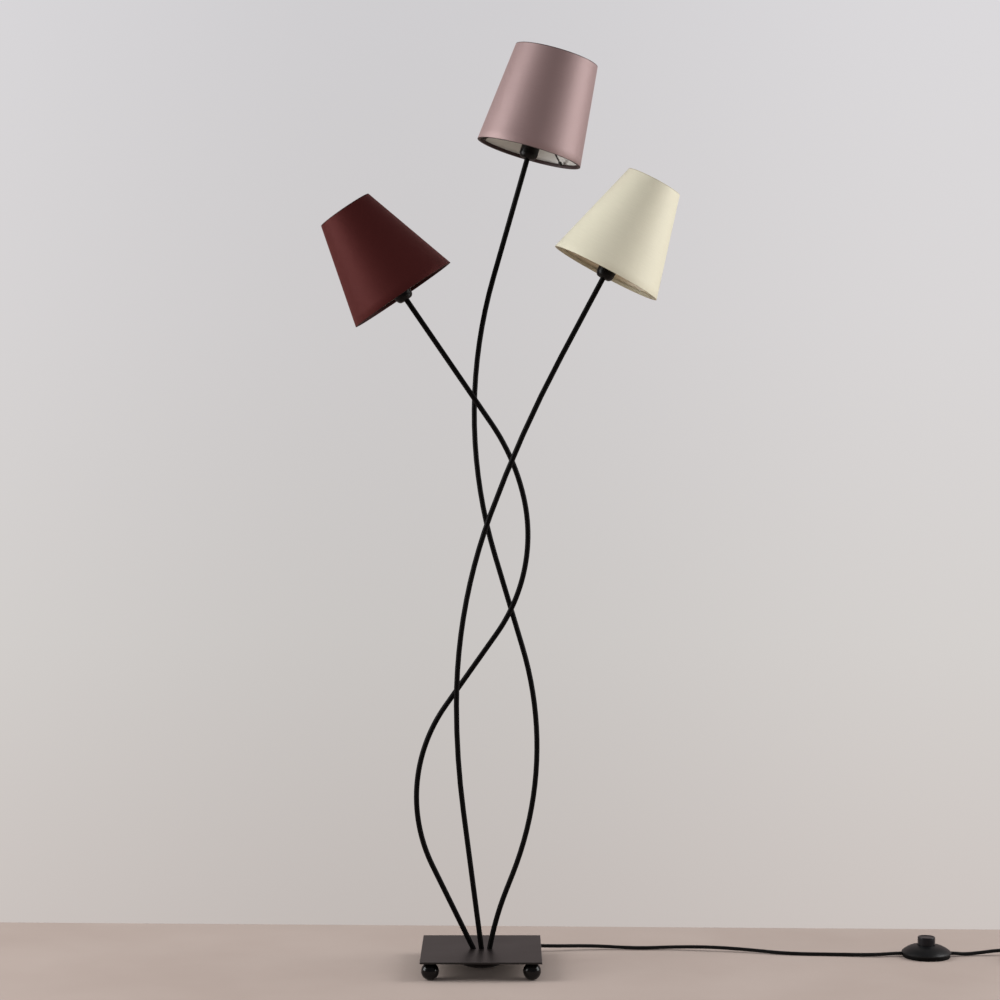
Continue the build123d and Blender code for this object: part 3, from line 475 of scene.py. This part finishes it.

# Base plate. Cut from 3 mm steel and powder coated satin black all over. A lighter grey along
# the filed upper edge is a painted highlight. The three stems are screwed to the middle of the
# plate.
plate_side = 0.180
plate_thickness = 0.003
plate_corner = 0.0015
edge_break = 0.0005
level_face = 0.98
sharp_turn = math.radians(60)
crease = math.radians(40)
plate_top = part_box("base_plate")[1].z
powder_coat = coated(
    "black_powder_coat", (0.0062, 0.0038, 0.0034), 0.42, 0.0006, 0.000003, specular=0.42
)


def eased(shape, width, segments=2):
    """Round the edges at which a shape turns sharply."""
    sharp = [
        edge
        for edge in shape.edges
        if len(edge.link_faces) == 2 and edge.calc_face_angle() > sharp_turn
    ]
    bmesh.ops.bevel(
        shape,
        geom=sharp,
        offset=width,
        offset_type="OFFSET",
        affect="EDGES",
        segments=segments,
        profile=0.5,
        material=-1,
        clamp_overlap=True,
    )


def fitted(shape, name, body, finish, place):
    """Turn a shape into a smooth piece at its place, in a finish, that rides on a body."""
    bmesh.ops.transform(shape, matrix=place, verts=shape.verts)
    mesh = bpy.data.meshes.new(name)
    shape.to_mesh(mesh)
    shape.free()
    for face in mesh.polygons:
        face.use_smooth = True
    mesh.set_sharp_from_angle(angle=crease)
    mesh.materials.append(finish)
    piece = bpy.data.objects.new(name, mesh)
    bpy.context.scene.collection.objects.link(piece)
    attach(piece, body)
    return piece


plate = bmesh.new()
bmesh.ops.create_cube(plate, size=1)
bmesh.ops.scale(plate, vec=(plate_side, plate_side, plate_thickness), verts=plate.verts)
corners = [
    edge
    for edge in plate.edges
    if abs(edge.verts[0].co.z - edge.verts[1].co.z) > plate_thickness / 2
]
bmesh.ops.bevel(
    plate, geom=corners, offset=plate_corner, affect="EDGES", segments=6, profile=0.5, material=-1
)
eased(plate, edge_break, segments=3)
# Faces along the upper edge get a lighter grey coat, a painted highlight.
highlight_from = plate_thickness / 2 - edge_break * level_face
for face in plate.faces:
    if face.calc_center_median().z > highlight_from and face.normal.z < level_face:
        face.material_index = 1
edge_highlight_coat = coated("painted_edge_highlight", (0.035, 0.031, 0.030), 0.35, 0.0006, 0.00001, 0.15)
plate_place = Matrix.Translation((0, 0, plate_top - plate_thickness / 2))
plate_piece = fitted(plate, "plate", "stand", powder_coat, plate_place)
plate_piece.data.materials.append(edge_highlight_coat)
for face in plate_piece.data.polygons:
    face.use_smooth = face.area < plate_side**2 / 2
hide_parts("base_plate")

# Ball feet. Turned balls in glossy black lacquer, flat where they meet the plate and the
# floor, and held by studs from the plate.
ball_radius = 0.0133
ball_height = 0.026
ball_lacquer = coated(
    "ball_black", (0.003, 0.0024, 0.0024), 0.16, 0.004, 0.00003, specular=0.25
)
zinc = coated("zinc_steel", (0.55, 0.54, 0.52), 0.32, 0.0008, 0.00004, 0.1, metallic=1)


def arc(centre, radius, start, end, steps):
    """Points of radius and height along an arc, by angle in degrees from level outwards."""
    angles = (math.radians(start + (end - start) * step / steps) for step in range(steps + 1))
    return [
        (centre[0] + radius * math.cos(angle), centre[1] + radius * math.sin(angle))
        for angle in angles
    ]


def turned(outline, closed=False, steps=72):
    """Shape turned about Z from an outline of radius and height."""
    shape = bmesh.new()
    points = [shape.verts.new((radius, 0, height)) for radius, height in outline]
    pairs = list(zip(points, points[1:]))
    if closed:
        pairs.append((points[-1], points[0]))
    for pair in pairs:
        shape.edges.new(pair)
    bmesh.ops.spin(
        shape,
        geom=shape.verts[:] + shape.edges[:],
        cent=(0, 0, 0),
        axis=(0, 0, 1),
        angle=math.tau,
        steps=steps,
        use_merge=True,
    )
    bmesh.ops.remove_doubles(shape, verts=shape.verts, dist=1e-6)
    bmesh.ops.dissolve_degenerate(shape, edges=shape.edges, dist=1e-7)
    bmesh.ops.recalc_face_normals(shape, faces=shape.faces)
    return shape


flat_angle = math.degrees(math.asin(ball_height / 2 / ball_radius))
ball_outline = [
    (0, 0),
    *arc((0, ball_height / 2), ball_radius, -flat_angle, flat_angle, 28),
    (0, ball_height),
]
for corner in ("front_left", "front_right", "rear_left", "rear_right"):
    ball_low, ball_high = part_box(f"ball_foot_{corner}")
    middle = (ball_low + ball_high) / 2
    ball_place = Matrix.Translation((middle.x, middle.y, ball_low.z))
    ball = fitted(
        turned(ball_outline), f"ball_{corner}", "stand", ball_lacquer, ball_place
    )
    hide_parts(f"ball_foot_{corner}")
wear(zinc, "foot_studs")

# Wiring space. A spun steel cup under the plate, screwed to two pillars, hides the joint of the
# three leads with the cord, which leaves it through a soft bush. The cup's side is listed in
# from its rim and up, and the bush's tail by its radius and its distance from the middle.
cup_rim = 0.043
cup_flat = 0.025
cup_wall = 0.0012
cup_inwards = cup_wall * 0.8
cup_upwards = cup_wall * 0.7
cup_side = ((0.0115, 0.0033), (0.0065, 0.0077), (0.0025, 0.0135))
cup_low, cup_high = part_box("wiring_cup")
cup_depth = cup_high.z - cup_low.z
cup_outer = [
    (0, 0),
    (cup_flat, 0),
    *((cup_rim - inset, height) for inset, height in cup_side),
    (cup_rim, cup_depth),
]
cup_inner = [
    (max(radius - cup_inwards, 0), min(height + cup_upwards, cup_depth))
    for radius, height in reversed(cup_outer)
]
cup_place = Matrix.Translation((0, 0, cup_low.z))
cup = fitted(
    turned([*cup_outer, *cup_inner]), "cup", "stand", powder_coat, cup_place
)
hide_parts("wiring_cup")
cup.modifiers.new("spun_round", "SUBSURF").levels = 2
cup.modifiers["spun_round"].render_levels = 2

bush_bore = 0.0028
bush_neck = 0.0042
bush_collar = 0.0060
bush_start = 0.0365
collar_start = 0.0420
collar_end = 0.0432
bush_end = 0.0620
bush_tail = [
    (0.0045, 0.0446), (0.0044, 0.0470), (0.0041, 0.0474), (0.0041, 0.0484), (0.0043, 0.0488),
    (0.0042, 0.0520), (0.0039, 0.0524), (0.0039, 0.0534), (0.0041, 0.0538), (0.0037, bush_end),
]
bush_outline = [
    (bush_bore, bush_start), (bush_neck, bush_start), (bush_neck, collar_start),
    (bush_collar, collar_start), (bush_collar, collar_end), *bush_tail, (bush_bore, bush_end),
]
bush_rubber = coated("bush_black", (0.010, 0.010, 0.010), 0.6, 0.0010, 0.0001, specular=0.3)
bush_place = (
    Matrix.Translation((0, 0, exit_height))
    @ Matrix.Rotation(bush_heading, 4, "Z")
    @ Matrix.Rotation(math.radians(90), 4, "Y")
)
bush = fitted(
    turned(bush_outline, closed=True, steps=40),
    "bush",
    "stand",
    bush_rubber,
    bush_place,
)
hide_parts("cord_bush")

terminal_plastic = coated("terminal_white", (0.78, 0.76, 0.70), 0.5, 0.002, 0.00005, 0.04)
moulded = coated(
    "moulded_black", (0.0058, 0.0058, 0.0062), 0.42, 0.0007, 0.00006, specular=0.3
)
wear(zinc, "cup_pillars", "cup_screws")
wear(terminal_plastic, "terminal_block")
wear(moulded, "cord_clamp")

# Stems. Three 8 mm steel tubes, bent cold on a former in one plane each, cut flat at the
# plate and powder coated. A bend is the straight before it, its radius and its turn.
tube_radius = 0.004
foot_pitch = 0.0122
foot_sink = 0.0015
cap_entry = 0.009
bend_step = 2.0
stem_coat = coated(
    "stem_powder_coat", (0.0018, 0.0013, 0.0012), 0.5, 0.004, 0.000002, 0.1, specular=0.08
)
stems = {
    "rose": {
        "foot": foot_pitch, "lean": 1.3, "yaw": 0.0, "heading": 11.6, "top_run": 0.1875,
        "bends": [(0.012, 0.440, 10.1), (0.027, 0.519, -38.4), (0.143, 0.748, 32.6)],
    },
    "burgundy": {
        "foot": -foot_pitch, "lean": 0.0, "yaw": 3.5, "heading": -26.1, "top_run": 0.225,
        "bends": [(0.1395, 0.235, 61.6), (0.1315, 0.256, -48.1), (0.0, 0.321, -21.9)],
    },
    "cream": {
        "foot": 0.0, "lean": -1.7, "yaw": 3.0, "heading": -7.5, "top_run": 0.132,
        "bends": [(0.2095, 1.240, 7.4), (0.0, 0.823, 20.2), (0.0, 1.887, 7.9)],
    },
}


def stem_frame(stem):
    """Place of a stem's plane, with its X to the right, its Y up and its Z to the front."""
    yaw = Matrix.Rotation(math.radians(stem["yaw"]), 4, "Z")
    lean = Matrix.Rotation(-math.radians(stem["lean"]), 4, "X")
    upright = Matrix.Rotation(math.radians(90), 4, "X")
    return Matrix.Translation((stem["foot"], 0, plate_top)) @ yaw @ lean @ upright


def ahead(heading):
    """Unit step in a stem's plane along a heading, which is measured from straight up."""
    return Vector((math.sin(heading), math.cos(heading), 0))


def bent_line(stem):
    """Points along a stem in its own plane, and its last heading."""
    heading = math.radians(stem["heading"])
    points = [Vector((0, 0, 0))]
    for straight, radius, turn in stem["bends"]:
        start = points[-1] + straight * ahead(heading)
        if straight:
            points.append(start)
        steps = math.ceil(abs(turn) / bend_step)
        side = math.copysign(radius, turn)
        for step in range(1, steps + 1):
            bent = heading + math.radians(turn) * step / steps
            sweep = Vector(
                (math.cos(heading) - math.cos(bent), math.sin(bent) - math.sin(heading), 0)
            )
            points.append(start + side * sweep)
        heading += math.radians(turn)
    points.append(points[-1] + stem["top_run"] * ahead(heading))
    return points, heading


heads = {}
for colour, stem in stems.items():
    plane = stem_frame(stem)
    points, heading = bent_line(stem)
    heads[colour] = plane @ Matrix.Translation(points[-1]) @ Matrix(
        (
            (math.cos(heading), 0, math.sin(heading), 0),
            (-math.sin(heading), 0, math.cos(heading), 0),
            (0, -1, 0, 0),
            (0, 0, 0, 1),
        )
    )
    points = [
        points[0] - ahead(math.radians(stem["heading"])) * foot_sink,
        *points,
        points[-1] + ahead(heading) * cap_entry,
    ]
    tube = bpy.data.curves.new(f"{colour}_tube", "CURVE")
    tube.dimensions = "3D"
    tube.bevel_depth = 1
    tube.bevel_resolution = 8
    tube.use_fill_caps = True
    run = tube.splines.new("POLY")
    run.points.add(len(points) - 1)
    for point, co in zip(run.points, points):
        point.co = (*(plane @ co), 1)
        point.radius = tube_radius
    run.use_smooth = True
    tube.materials.append(stem_coat)
    stem_piece = bpy.data.objects.new(f"{colour}_tube", tube)
    bpy.context.scene.collection.objects.link(stem_piece)
    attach(stem_piece, "stand")
    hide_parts(f"{colour}_stem")
wear(zinc, "stem_washers", "stem_nuts")

# Lamp holders. A glossy black moulded cap screws on the tube's end. The sleeve on it has a
# flange that carries the shade, and a ribbed ring nut clamps the shade down from inside. A
# ring of the thread is listed by its depth and its share of the pitch.
holder_radius = 0.014
cap_height = 0.026
sleeve_top = 0.060
flange_low = 0.044
flange_high = 0.046
soft_edge = 0.0003
groove_low = 0.0235
groove_high = 0.0247
groove_depth = 0.0004
cap_bore = 0.0052
cap_mouth = 0.0066
cap_foot = 0.0072
cap_shoulder = 0.007
cap_round = 0.009
cap_floor = 0.010
cap_wall = 0.0018
seam = 0.0002
sleeve_low = cap_height + seam
sleeve_bore = 0.0122
flange_radius = 0.0170
mouth_bore = 0.0095
mouth_edge = 0.001
mouth_depth = 0.002
thread_pitch = 0.0018
thread_depth = 0.0006
thread_start = 0.0004
thread_runout = 0.001
holder_gloss = coated(
    "holder_black", (0.0028, 0.0023, 0.0022), 0.34, 0.003, 0.00001, specular=0.16
)
insert_ceramic = coated("insert_white", (0.78, 0.75, 0.68), 0.4, 0.002, 0.00004, 0.04)
cap_outline = [
    (cap_bore, cap_floor), (cap_bore, 0.0), (cap_mouth, 0.0), (cap_foot, soft_edge),
    *(
        (cap_shoulder + cap_shoulder * math.sin(angle), cap_round - cap_round * math.cos(angle))
        for angle in map(math.radians, range(15, 91, 15))
    ),
    (holder_radius, groove_low), (holder_radius - groove_depth, groove_low + soft_edge),
    (holder_radius - groove_depth, groove_high - soft_edge), (holder_radius, groove_high),
    (holder_radius, cap_height - soft_edge), (holder_radius - soft_edge, cap_height),
    (holder_radius - cap_wall, cap_height), (holder_radius - cap_wall, cap_floor),
]
thread_form = ((thread_depth, 0), (0, 0.35), (0, 0.55), (thread_depth, 0.9))
thread_turns = int((sleeve_top - thread_runout - flange_high) / thread_pitch)
thread_rings = []
for ring in range(thread_turns):
    base = flange_high + thread_start + ring * thread_pitch
    thread_rings += [
        (holder_radius - depth, base + thread_pitch * share) for depth, share in thread_form
    ]
sleeve_outline = [
    (sleeve_bore, sleeve_low), (holder_radius - groove_depth, sleeve_low),
    (holder_radius, sleeve_low + groove_depth), (holder_radius, flange_low),
    (flange_radius - soft_edge, flange_low), (flange_radius, flange_low + soft_edge),
    (flange_radius, flange_high - soft_edge), (flange_radius - soft_edge, flange_high),
    *thread_rings,
    (holder_radius - thread_depth, sleeve_top - soft_edge),
    (holder_radius - mouth_edge, sleeve_top), (mouth_bore, sleeve_top),
    (mouth_bore, sleeve_top - mouth_depth), (sleeve_bore, sleeve_top - mouth_depth),
]
nut_low = 0.0478
nut_high = 0.0558
nut_radius = 0.019
nut_bore = 0.01405
grips = 24
grip_depth = 0.0011
nut_ease = 0.0004
nut_outline = [
    (nut_bore, nut_low), (nut_radius, nut_low), (nut_radius, nut_high), (nut_bore, nut_high),
]
for colour, head in heads.items():
    cap = turned(cap_outline, closed=True)
    cap_piece = fitted(cap, f"{colour}_cap", "stand", holder_gloss, head)
    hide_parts(f"{colour}_holder_cap")
    sleeve = turned(sleeve_outline, closed=True)
    sleeve_piece = fitted(sleeve, f"{colour}_sleeve", "stand", holder_gloss, head)
    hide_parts(f"{colour}_holder_sleeve")
    nut = turned(nut_outline, closed=True, steps=grips * 6)
    for vert in nut.verts:
        if vert.co.xy.length > nut_radius - soft_edge:
            angle = math.atan2(vert.co.y, vert.co.x)
            dip = grip_depth * max(0, math.cos(angle * grips)) ** 2
            vert.co.xy *= 1 - dip / nut_radius
    eased(nut, nut_ease)
    nut_piece = fitted(nut, f"{colour}_nut", "stand", holder_gloss, head)
    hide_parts(f"{colour}_ring_nut")
    wear(insert_ceramic, f"{colour}_lamp_insert")

# Bulbs. Small drop lamps of opal glass, on a rolled thread of bright metal. The contact, a ring
# of the thread and the collar are listed by their radius and their distance up or down.
bulb_low = 0.0315
bulb_cap_top = 0.0555
bulb_top = 0.1095
bulb_radius = 0.0225
bulb_thread = 0.0028
bulb_thread_start = 0.003
bulb_rings = 6
opal = coated("bulb_opal", (0.86, 0.85, 0.82), 0.22, 0.01, 0.00002, 0.02)
opal.node_tree.nodes["Principled BSDF"].inputs["Transmission Weight"].default_value = 0.15
bright_cap = coated(
    "bulb_cap_metal", (0.62, 0.61, 0.58), 0.25, 0.001, 0.00003, 0.08, metallic=1
)
flare = 0.011
neck = 0.007
ball_centre = bulb_top - bulb_radius
flare_turn = math.degrees(math.acos((neck + flare) / (bulb_radius + flare)))
neck_top = ball_centre - (bulb_radius + flare) * math.sin(math.radians(flare_turn))
glass_outline = [
    (neck, bulb_cap_top),
    *arc((neck + flare, neck_top), flare, 180, 180 - flare_turn, 10),
    *arc((0, ball_centre), bulb_radius, -flare_turn, 90, 30)[1:],
]
contact_form = ((0, 0), (0.0025, 0), (0.0030, 0.0008), (0.0055, 0.002))
ring_form = ((0.0063, 0), (0.0070, 0.0010), (0.0070, 0.0017), (0.0063, 0.0026))
collar_form = ((0.0068, 0.003), (0.0070, 0.0005), (0.0066, 0), (0, 0))
screw_outline = [(radius, bulb_low + rise) for radius, rise in contact_form]
for ring in range(bulb_rings):
    base = bulb_low + bulb_thread_start + ring * bulb_thread
    screw_outline += [(radius, base + rise) for radius, rise in ring_form]
screw_outline += [(radius, bulb_cap_top - drop) for radius, drop in collar_form]
for colour, head in heads.items():
    glass = fitted(turned(glass_outline), f"{colour}_bulb", "stand", opal, head)
    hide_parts(f"{colour}_bulb_glass")
    screw = turned(screw_outline, steps=48)
    screw_piece = fitted(
        screw, f"{colour}_bulb_thread", "stand", bright_cap, head
    )
    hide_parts(f"{colour}_bulb_cap")

# Shades. Satin or plain cloth is glued to a stiff pale sheet and rolled over a wire ring at
# each end, where a narrow tape keeps it tight. The darker tape colour is the tape's own along
# the top fold; on the inner hems and the rim's underside it is painted shade. Three arms carry
# the lower ring from a hub. The forms of the cloth and the sheet are listed up from the rim and
# in from the cone.
shade_rise = 0.0092
shade_height = 0.1545
cover_wall = 0.0008
roll_width = 0.0043
hem_height = 0.005
fold_height = 0.0011
lining_gap = 0.0003
lining_wall = 0.0004
lining_inset = 0.0038
ring_radius = 0.0012
arm_radius = 0.0013
hub_radius = 0.023
hub_bore = 0.0143
hub_low = 0.0461
hub_high = 0.0477
ring_tuck = 0.00135
thread_size = 0.0007
thread_waves = 0.314 / thread_size
cloth_rows = 12
rim_ease = 0.0003
arm_count = 3
weld_bite = 0.0007
weld_size = 1.25
knob_size = 2.3
knob_share = 0.1
shades = {
    "rose": {
        "low": 0.081, "high": 0.0645, "first_arm": 48,
        "colour": (0.275, 0.178, 0.172), "tape_and_shade": (0.045, 0.026, 0.026),
        "lining": (0.74, 0.72, 0.68), "gleam": (1.0, 0.94, 0.94),
        "lustre": 0.32, "shine": 1.0, "nap": 0.15,
    },
    "burgundy": {
        "low": 0.086, "high": 0.043, "first_arm": 90,
        "colour": (0.054, 0.0116, 0.0110), "tape_and_shade": (0.012, 0.004, 0.004),
        "lining": (0.70, 0.64, 0.58), "gleam": (0.9, 0.25, 0.22),
        "lustre": 0.14, "shine": 0.2, "nap": 0.16,
    },
    "cream": {
        "low": 0.086, "high": 0.043, "first_arm": 90,
        "colour": (0.708, 0.680, 0.533), "tape_and_shade": (0.50, 0.462, 0.335),
        "lining": (0.74, 0.65, 0.47), "gleam": (1.0, 1.0, 0.95),
        "lustre": 0.0, "shine": 0.25, "nap": 0.04,
    },
}


def satin(name, colour, lustre, shine, gleam, nap):
    """Woven cloth on a UV map in metres, with fine threads, slubs and a sheen round the cone."""
    finish = bpy.data.materials.new(name)
    finish.use_nodes = True
    tree = finish.node_tree
    shader = tree.nodes["Principled BSDF"]
    place = tree.nodes.new("ShaderNodeUVMap")
    place.uv_map = "cloth"
    weft = tree.nodes.new("ShaderNodeTexWave")
    weft.bands_direction = "Y"
    warp = tree.nodes.new("ShaderNodeTexWave")
    warp.bands_direction = "X"
    for threads in (weft, warp):
        threads.inputs["Scale"].default_value = thread_waves
        threads.inputs["Distortion"].default_value = 0.6
    weave = tree.nodes.new("ShaderNodeMath")
    weave.operation = "MAXIMUM"
    relief = tree.nodes.new("ShaderNodeBump")
    relief.inputs["Distance"].default_value = 0.0001
    relief.inputs["Strength"].default_value = 0.35
    stretch = tree.nodes.new("ShaderNodeMapping")
    stretch.inputs["Scale"].default_value = (30, 900, 1)
    slubs = tree.nodes.new("ShaderNodeTexNoise")
    slubs.inputs["Scale"].default_value = 1
    slubs.inputs["Detail"].default_value = 3
    tone = ramp(
        tree,
        [
            (0.3, (*(part * 0.975 for part in colour), 1)),
            (0.7, (*(part * 1.02 for part in colour), 1)),
        ],
    )
    shader.inputs["Roughness"].default_value = 0.45
    shader.inputs["Anisotropic"].default_value = 0.6
    shader.inputs["Metallic"].default_value = lustre
    shader.inputs["Specular IOR Level"].default_value = shine
    shader.inputs["Specular Tint"].default_value = (*gleam, 1)
    shader.inputs["Sheen Weight"].default_value = nap
    shader.inputs["Sheen Roughness"].default_value = 0.4
    shader.inputs["Sheen Tint"].default_value = (*gleam, 1)
    grain_way = tree.nodes.new("ShaderNodeTangent")
    grain_way.direction_type = "UV_MAP"
    grain_way.uv_map = "cloth"
    link(tree, place, "UV", weft, "Vector")
    link(tree, place, "UV", warp, "Vector")
    link(tree, place, "UV", stretch, "Vector")
    link(tree, stretch, "Vector", slubs, "Vector")
    link(tree, weft, "Fac", weave, 0)
    link(tree, warp, "Fac", weave, 1)
    link(tree, weave, "Value", relief, "Height")
    link(tree, relief, "Normal", shader, "Normal")
    link(tree, slubs, "Fac", tone, "Fac")
    link(tree, tone, "Color", shader, "Base Color")
    link(tree, grain_way, "Tangent", shader, "Tangent")
    return finish


def unrolled(shape, low_radius):
    """Lay a UV map in metres round a turned shape, with its seam at the back."""
    cloth = shape.loops.layers.uv.new("cloth")
    for face in shape.faces:
        middle = face.calc_center_median()
        heart = math.atan2(middle.x, -middle.y)
        for loop in face.loops:
            angle = math.atan2(loop.vert.co.x, -loop.vert.co.y)
            if angle - heart > math.pi:
                angle -= math.tau
            elif heart - angle > math.pi:
                angle += math.tau
            loop[cloth].uv = (angle * low_radius, loop.vert.co.z)


def on_cone(shade, height, inset=0.0):
    """Point on a shade's outer cone at a height above its rim, set in by a distance."""
    slope = (shade["high"] - shade["low"]) / shade_height
    return (shade["low"] + slope * height - inset, height)


cloth_face = roll_width - cover_wall
cover_form = [
    *((shade_height * row / cloth_rows, 0) for row in range(cloth_rows)),
    (shade_height - fold_height, 0), (shade_height, 0), (shade_height, roll_width),
    (shade_height - hem_height, roll_width), (shade_height - hem_height, cloth_face),
    (shade_height - cover_wall, cloth_face), (shade_height - cover_wall, cover_wall),
    (cover_wall, cover_wall), (cover_wall, cloth_face), (hem_height, cloth_face),
    (hem_height, roll_width), (0, roll_width),
]
sheet_face = cover_wall + lining_gap
sheet_form = [
    (lining_inset, sheet_face), (shade_height - lining_inset, sheet_face),
    (shade_height - lining_inset, sheet_face + lining_wall),
    (lining_inset, sheet_face + lining_wall),
]
hub_outline = [
    (hub_bore, hub_low), (hub_radius, hub_low), (hub_radius, hub_high), (hub_bore, hub_high),
]
ring_inset = cover_wall + ring_tuck
ring_height = cover_wall + lining_gap / 2 + ring_radius
wire_coat = coated("carrier_wire", (0.022, 0.019, 0.018), 0.4, 0.001, 0.00003)
for colour, shade in shades.items():
    head = heads[colour]
    body = f"{colour}_shade"
    rim_place = head @ Matrix.Translation((0, 0, shade_rise))
    cloth_finish = satin(
        f"{colour}_fabric",
        shade["colour"],
        shade["lustre"],
        shade["shine"],
        shade["gleam"],
        shade["nap"],
    )
    # Darker cloth: the tape's own colour on the top fold, painted shade on the inner hems and the
    # rim's underside.
    tape_and_shade_finish = satin(f"{colour}_tape", shade["tape_and_shade"], 0.0, 0.2, shade["gleam"], 0.03)
    lining_finish = coated(f"{colour}_lining", shade["lining"], 0.3, 0.004, 0.00002, 0.03)

    cover = turned([on_cone(shade, *point) for point in cover_form], closed=True, steps=144)
    eased(cover, rim_ease)
    unrolled(cover, shade["low"])
    # The top fold, the rim's underside and the inner hems take the darker colour; all but the top
    # fold is painted shade.
    for face in cover.faces:
        middle = face.calc_center_median()
        inside = on_cone(shade, middle.z)[0] - middle.xy.length
        fold_or_underside = middle.z > shade_height - fold_height or middle.z < cover_wall / 4
        face.material_index = 1 if fold_or_underside or inside > roll_width / 2 else 0
    cover_piece = fitted(
        cover, f"{colour}_cloth", body, cloth_finish, rim_place
    )
    cover_piece.data.materials.append(tape_and_shade_finish)
    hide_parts(f"{colour}_shade_cover")

    backing = turned([on_cone(shade, *point) for point in sheet_form], closed=True, steps=144)
    backing_piece = fitted(
        backing, f"{colour}_backing", body, lining_finish, rim_place
    )
    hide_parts(f"{colour}_shade_lining")

    wire = turned(hub_outline, closed=True)
    eased(wire, rim_ease)
    rim_radius, rim_height = on_cone(shade, ring_height, ring_inset)
    rim_height += shade_rise
    rim_section = arc((rim_radius, rim_height), ring_radius, 0, 330, 11)
    low_ring = turned(rim_section, closed=True, steps=120)
    arms = bmesh.new()
    low_end = Vector((rim_radius, 0, rim_height))
    high_end = Vector((hub_radius - weld_bite, 0, (hub_low + hub_high) / 2))
    run = high_end - low_end
    along = run.to_track_quat("Z", "Y").to_matrix().to_4x4()
    lie = Matrix.Translation((low_end + high_end) / 2) @ along
    for arm in range(arm_count):
        spoke = Matrix.Rotation(math.radians(shade["first_arm"] + arm * 360 / arm_count), 4, "Z")
        bmesh.ops.create_cone(
            arms,
            cap_ends=True,
            segments=20,
            radius1=arm_radius,
            radius2=arm_radius,
            depth=run.length,
            matrix=spoke @ lie,
        )
        for end, size in (
            (high_end, weld_size),
            (low_end.lerp(high_end, knob_share), knob_size),
        ):
            bmesh.ops.create_uvsphere(
                arms,
                u_segments=16,
                v_segments=10,
                radius=arm_radius * size,
                matrix=spoke @ Matrix.Translation(end),
            )
    for part in (low_ring, arms):
        joined = bpy.data.meshes.new("part")
        part.to_mesh(joined)
        part.free()
        wire.from_mesh(joined)
        bpy.data.meshes.remove(joined)
    carrier = fitted(wire, f"{colour}_carrier", body, wire_coat, head)
    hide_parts(f"{colour}_shade_carrier")
    wear(wire_coat, f"{colour}_shade_top_ring")

# Foot switch. A flat moulded base with a shallow domed cover screwed to it from below, and a
# round button with a raised edge that stands out of the cover on a spring. The base and the
# button's dish are listed in from their edge, and up from the floor or down from the top.
switch_radius = 0.0375
base_radius = 0.0363
base_height = 0.0056
rim_top = 0.0078
dome_top = 0.0182
hole_radius = 0.01365
switch_wall = 0.0022
button_radius = 0.01325
button_top = 0.0305
dome_bulge = 0.0022
rim_drop = 0.3
dome_steps = 14
lip = 0.0004
button_round = 0.0012
button_wall = 0.002
button_dish = 0.0008
button_collar = 0.0155
collar_low = 0.0134
collar_high = 0.0150
foot_plastic = coated(
    "foot_black", (0.0022, 0.0021, 0.0021), 0.55, 0.0007, 0.00006, specular=0.12
)
button_plastic = coated(
    "button_black", (0.0050, 0.0045, 0.0065), 0.32, 0.0008, 0.00005, specular=0.28
)


def dome(inset):
    """Outline of the cover's dome, set in by a wall, from its rim to the button's hole."""
    rim = Vector((switch_radius - inset, rim_top - inset * rim_drop))
    hole = Vector((hole_radius, dome_top - inset))
    chord = hole - rim
    bulge = Vector((chord.y, -chord.x)).normalized() * dome_bulge
    return [
        tuple(rim + chord * share + bulge * (1 - (2 * share - 1) ** 2))
        for share in (step / dome_steps for step in range(dome_steps + 1))
    ]


switch_stand = Matrix.Translation(switch_place)
foot_form = (
    (0.004, 0.0004), (0.0036, 0), (0.0006, 0), (0, 0.0008), (0, base_height - soft_edge),
    (soft_edge, base_height), (switch_wall, base_height), (switch_wall, switch_wall),
)
foot_outline = [
    (0, lip),
    *((base_radius - inset, height) for inset, height in foot_form),
    (0, switch_wall),
]
foot = turned(foot_outline, steps=96)
foot_piece = fitted(
    foot, "switch_foot", "stand", foot_plastic, switch_stand
)
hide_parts("switch_base")
outer, inner = dome(0), dome(switch_wall)
cover_low = base_height + 0.0001
cover_outline = [
    (switch_radius - switch_wall, cover_low), (switch_radius - lip, cover_low),
    (switch_radius, cover_low + lip), (switch_radius, rim_top - lip), *outer[1:-1],
    (hole_radius + lip, dome_top + lip / 8), (hole_radius, dome_top - lip), *reversed(inner),
]
switch_cover = turned(cover_outline, closed=True, steps=96)
switch_cover_piece = fitted(
    switch_cover, "switch_dome", "stand", moulded, switch_stand
)
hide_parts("switch_cover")
dish_form = ((0.0040, button_dish), (0.0030, 0.0006), (0.0020, 0), (button_round, 0))
button_ceiling = button_top - button_dish - button_wall
round_centre = (button_radius - button_round, button_top - button_round)
button_outline = [
    (0, button_top - button_dish),
    *((button_radius - inset, button_top - drop) for inset, drop in dish_form),
    *arc(round_centre, button_round, 90, 0, 5)[1:],
    (button_radius, collar_high), (button_collar, collar_high), (button_collar, collar_low),
    (button_radius - button_wall, collar_low), (button_radius - button_wall, button_ceiling),
    (0, button_ceiling),
]
button = turned(button_outline)
button_piece = fitted(
    button, "button", "foot_button", button_plastic, switch_stand
)
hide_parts("switch_button")
wear(zinc, "switch_screws")
wear(moulded, "switch_mechanism")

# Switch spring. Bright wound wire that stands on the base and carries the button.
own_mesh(nodes["switch_spring"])
wear(zinc, "switch_spring")

# Plug. A flat two-pin plug moulded on the cord in matt black, with nickel plated pins. It is
# narrower to the back, where a tapered tail keeps the cord from kinking.
plug_matt = coated("plug_black", (0.0065, 0.0063, 0.0063), 0.5, 0.0009, 0.0001, specular=0.35)
pin_nickel = coated("pin_metal", (0.66, 0.64, 0.58), 0.22, 0.001, 0.00002, 0.05, metallic=1)
wear(plug_matt, "plug")
wear(pin_nickel, "plug_pins")
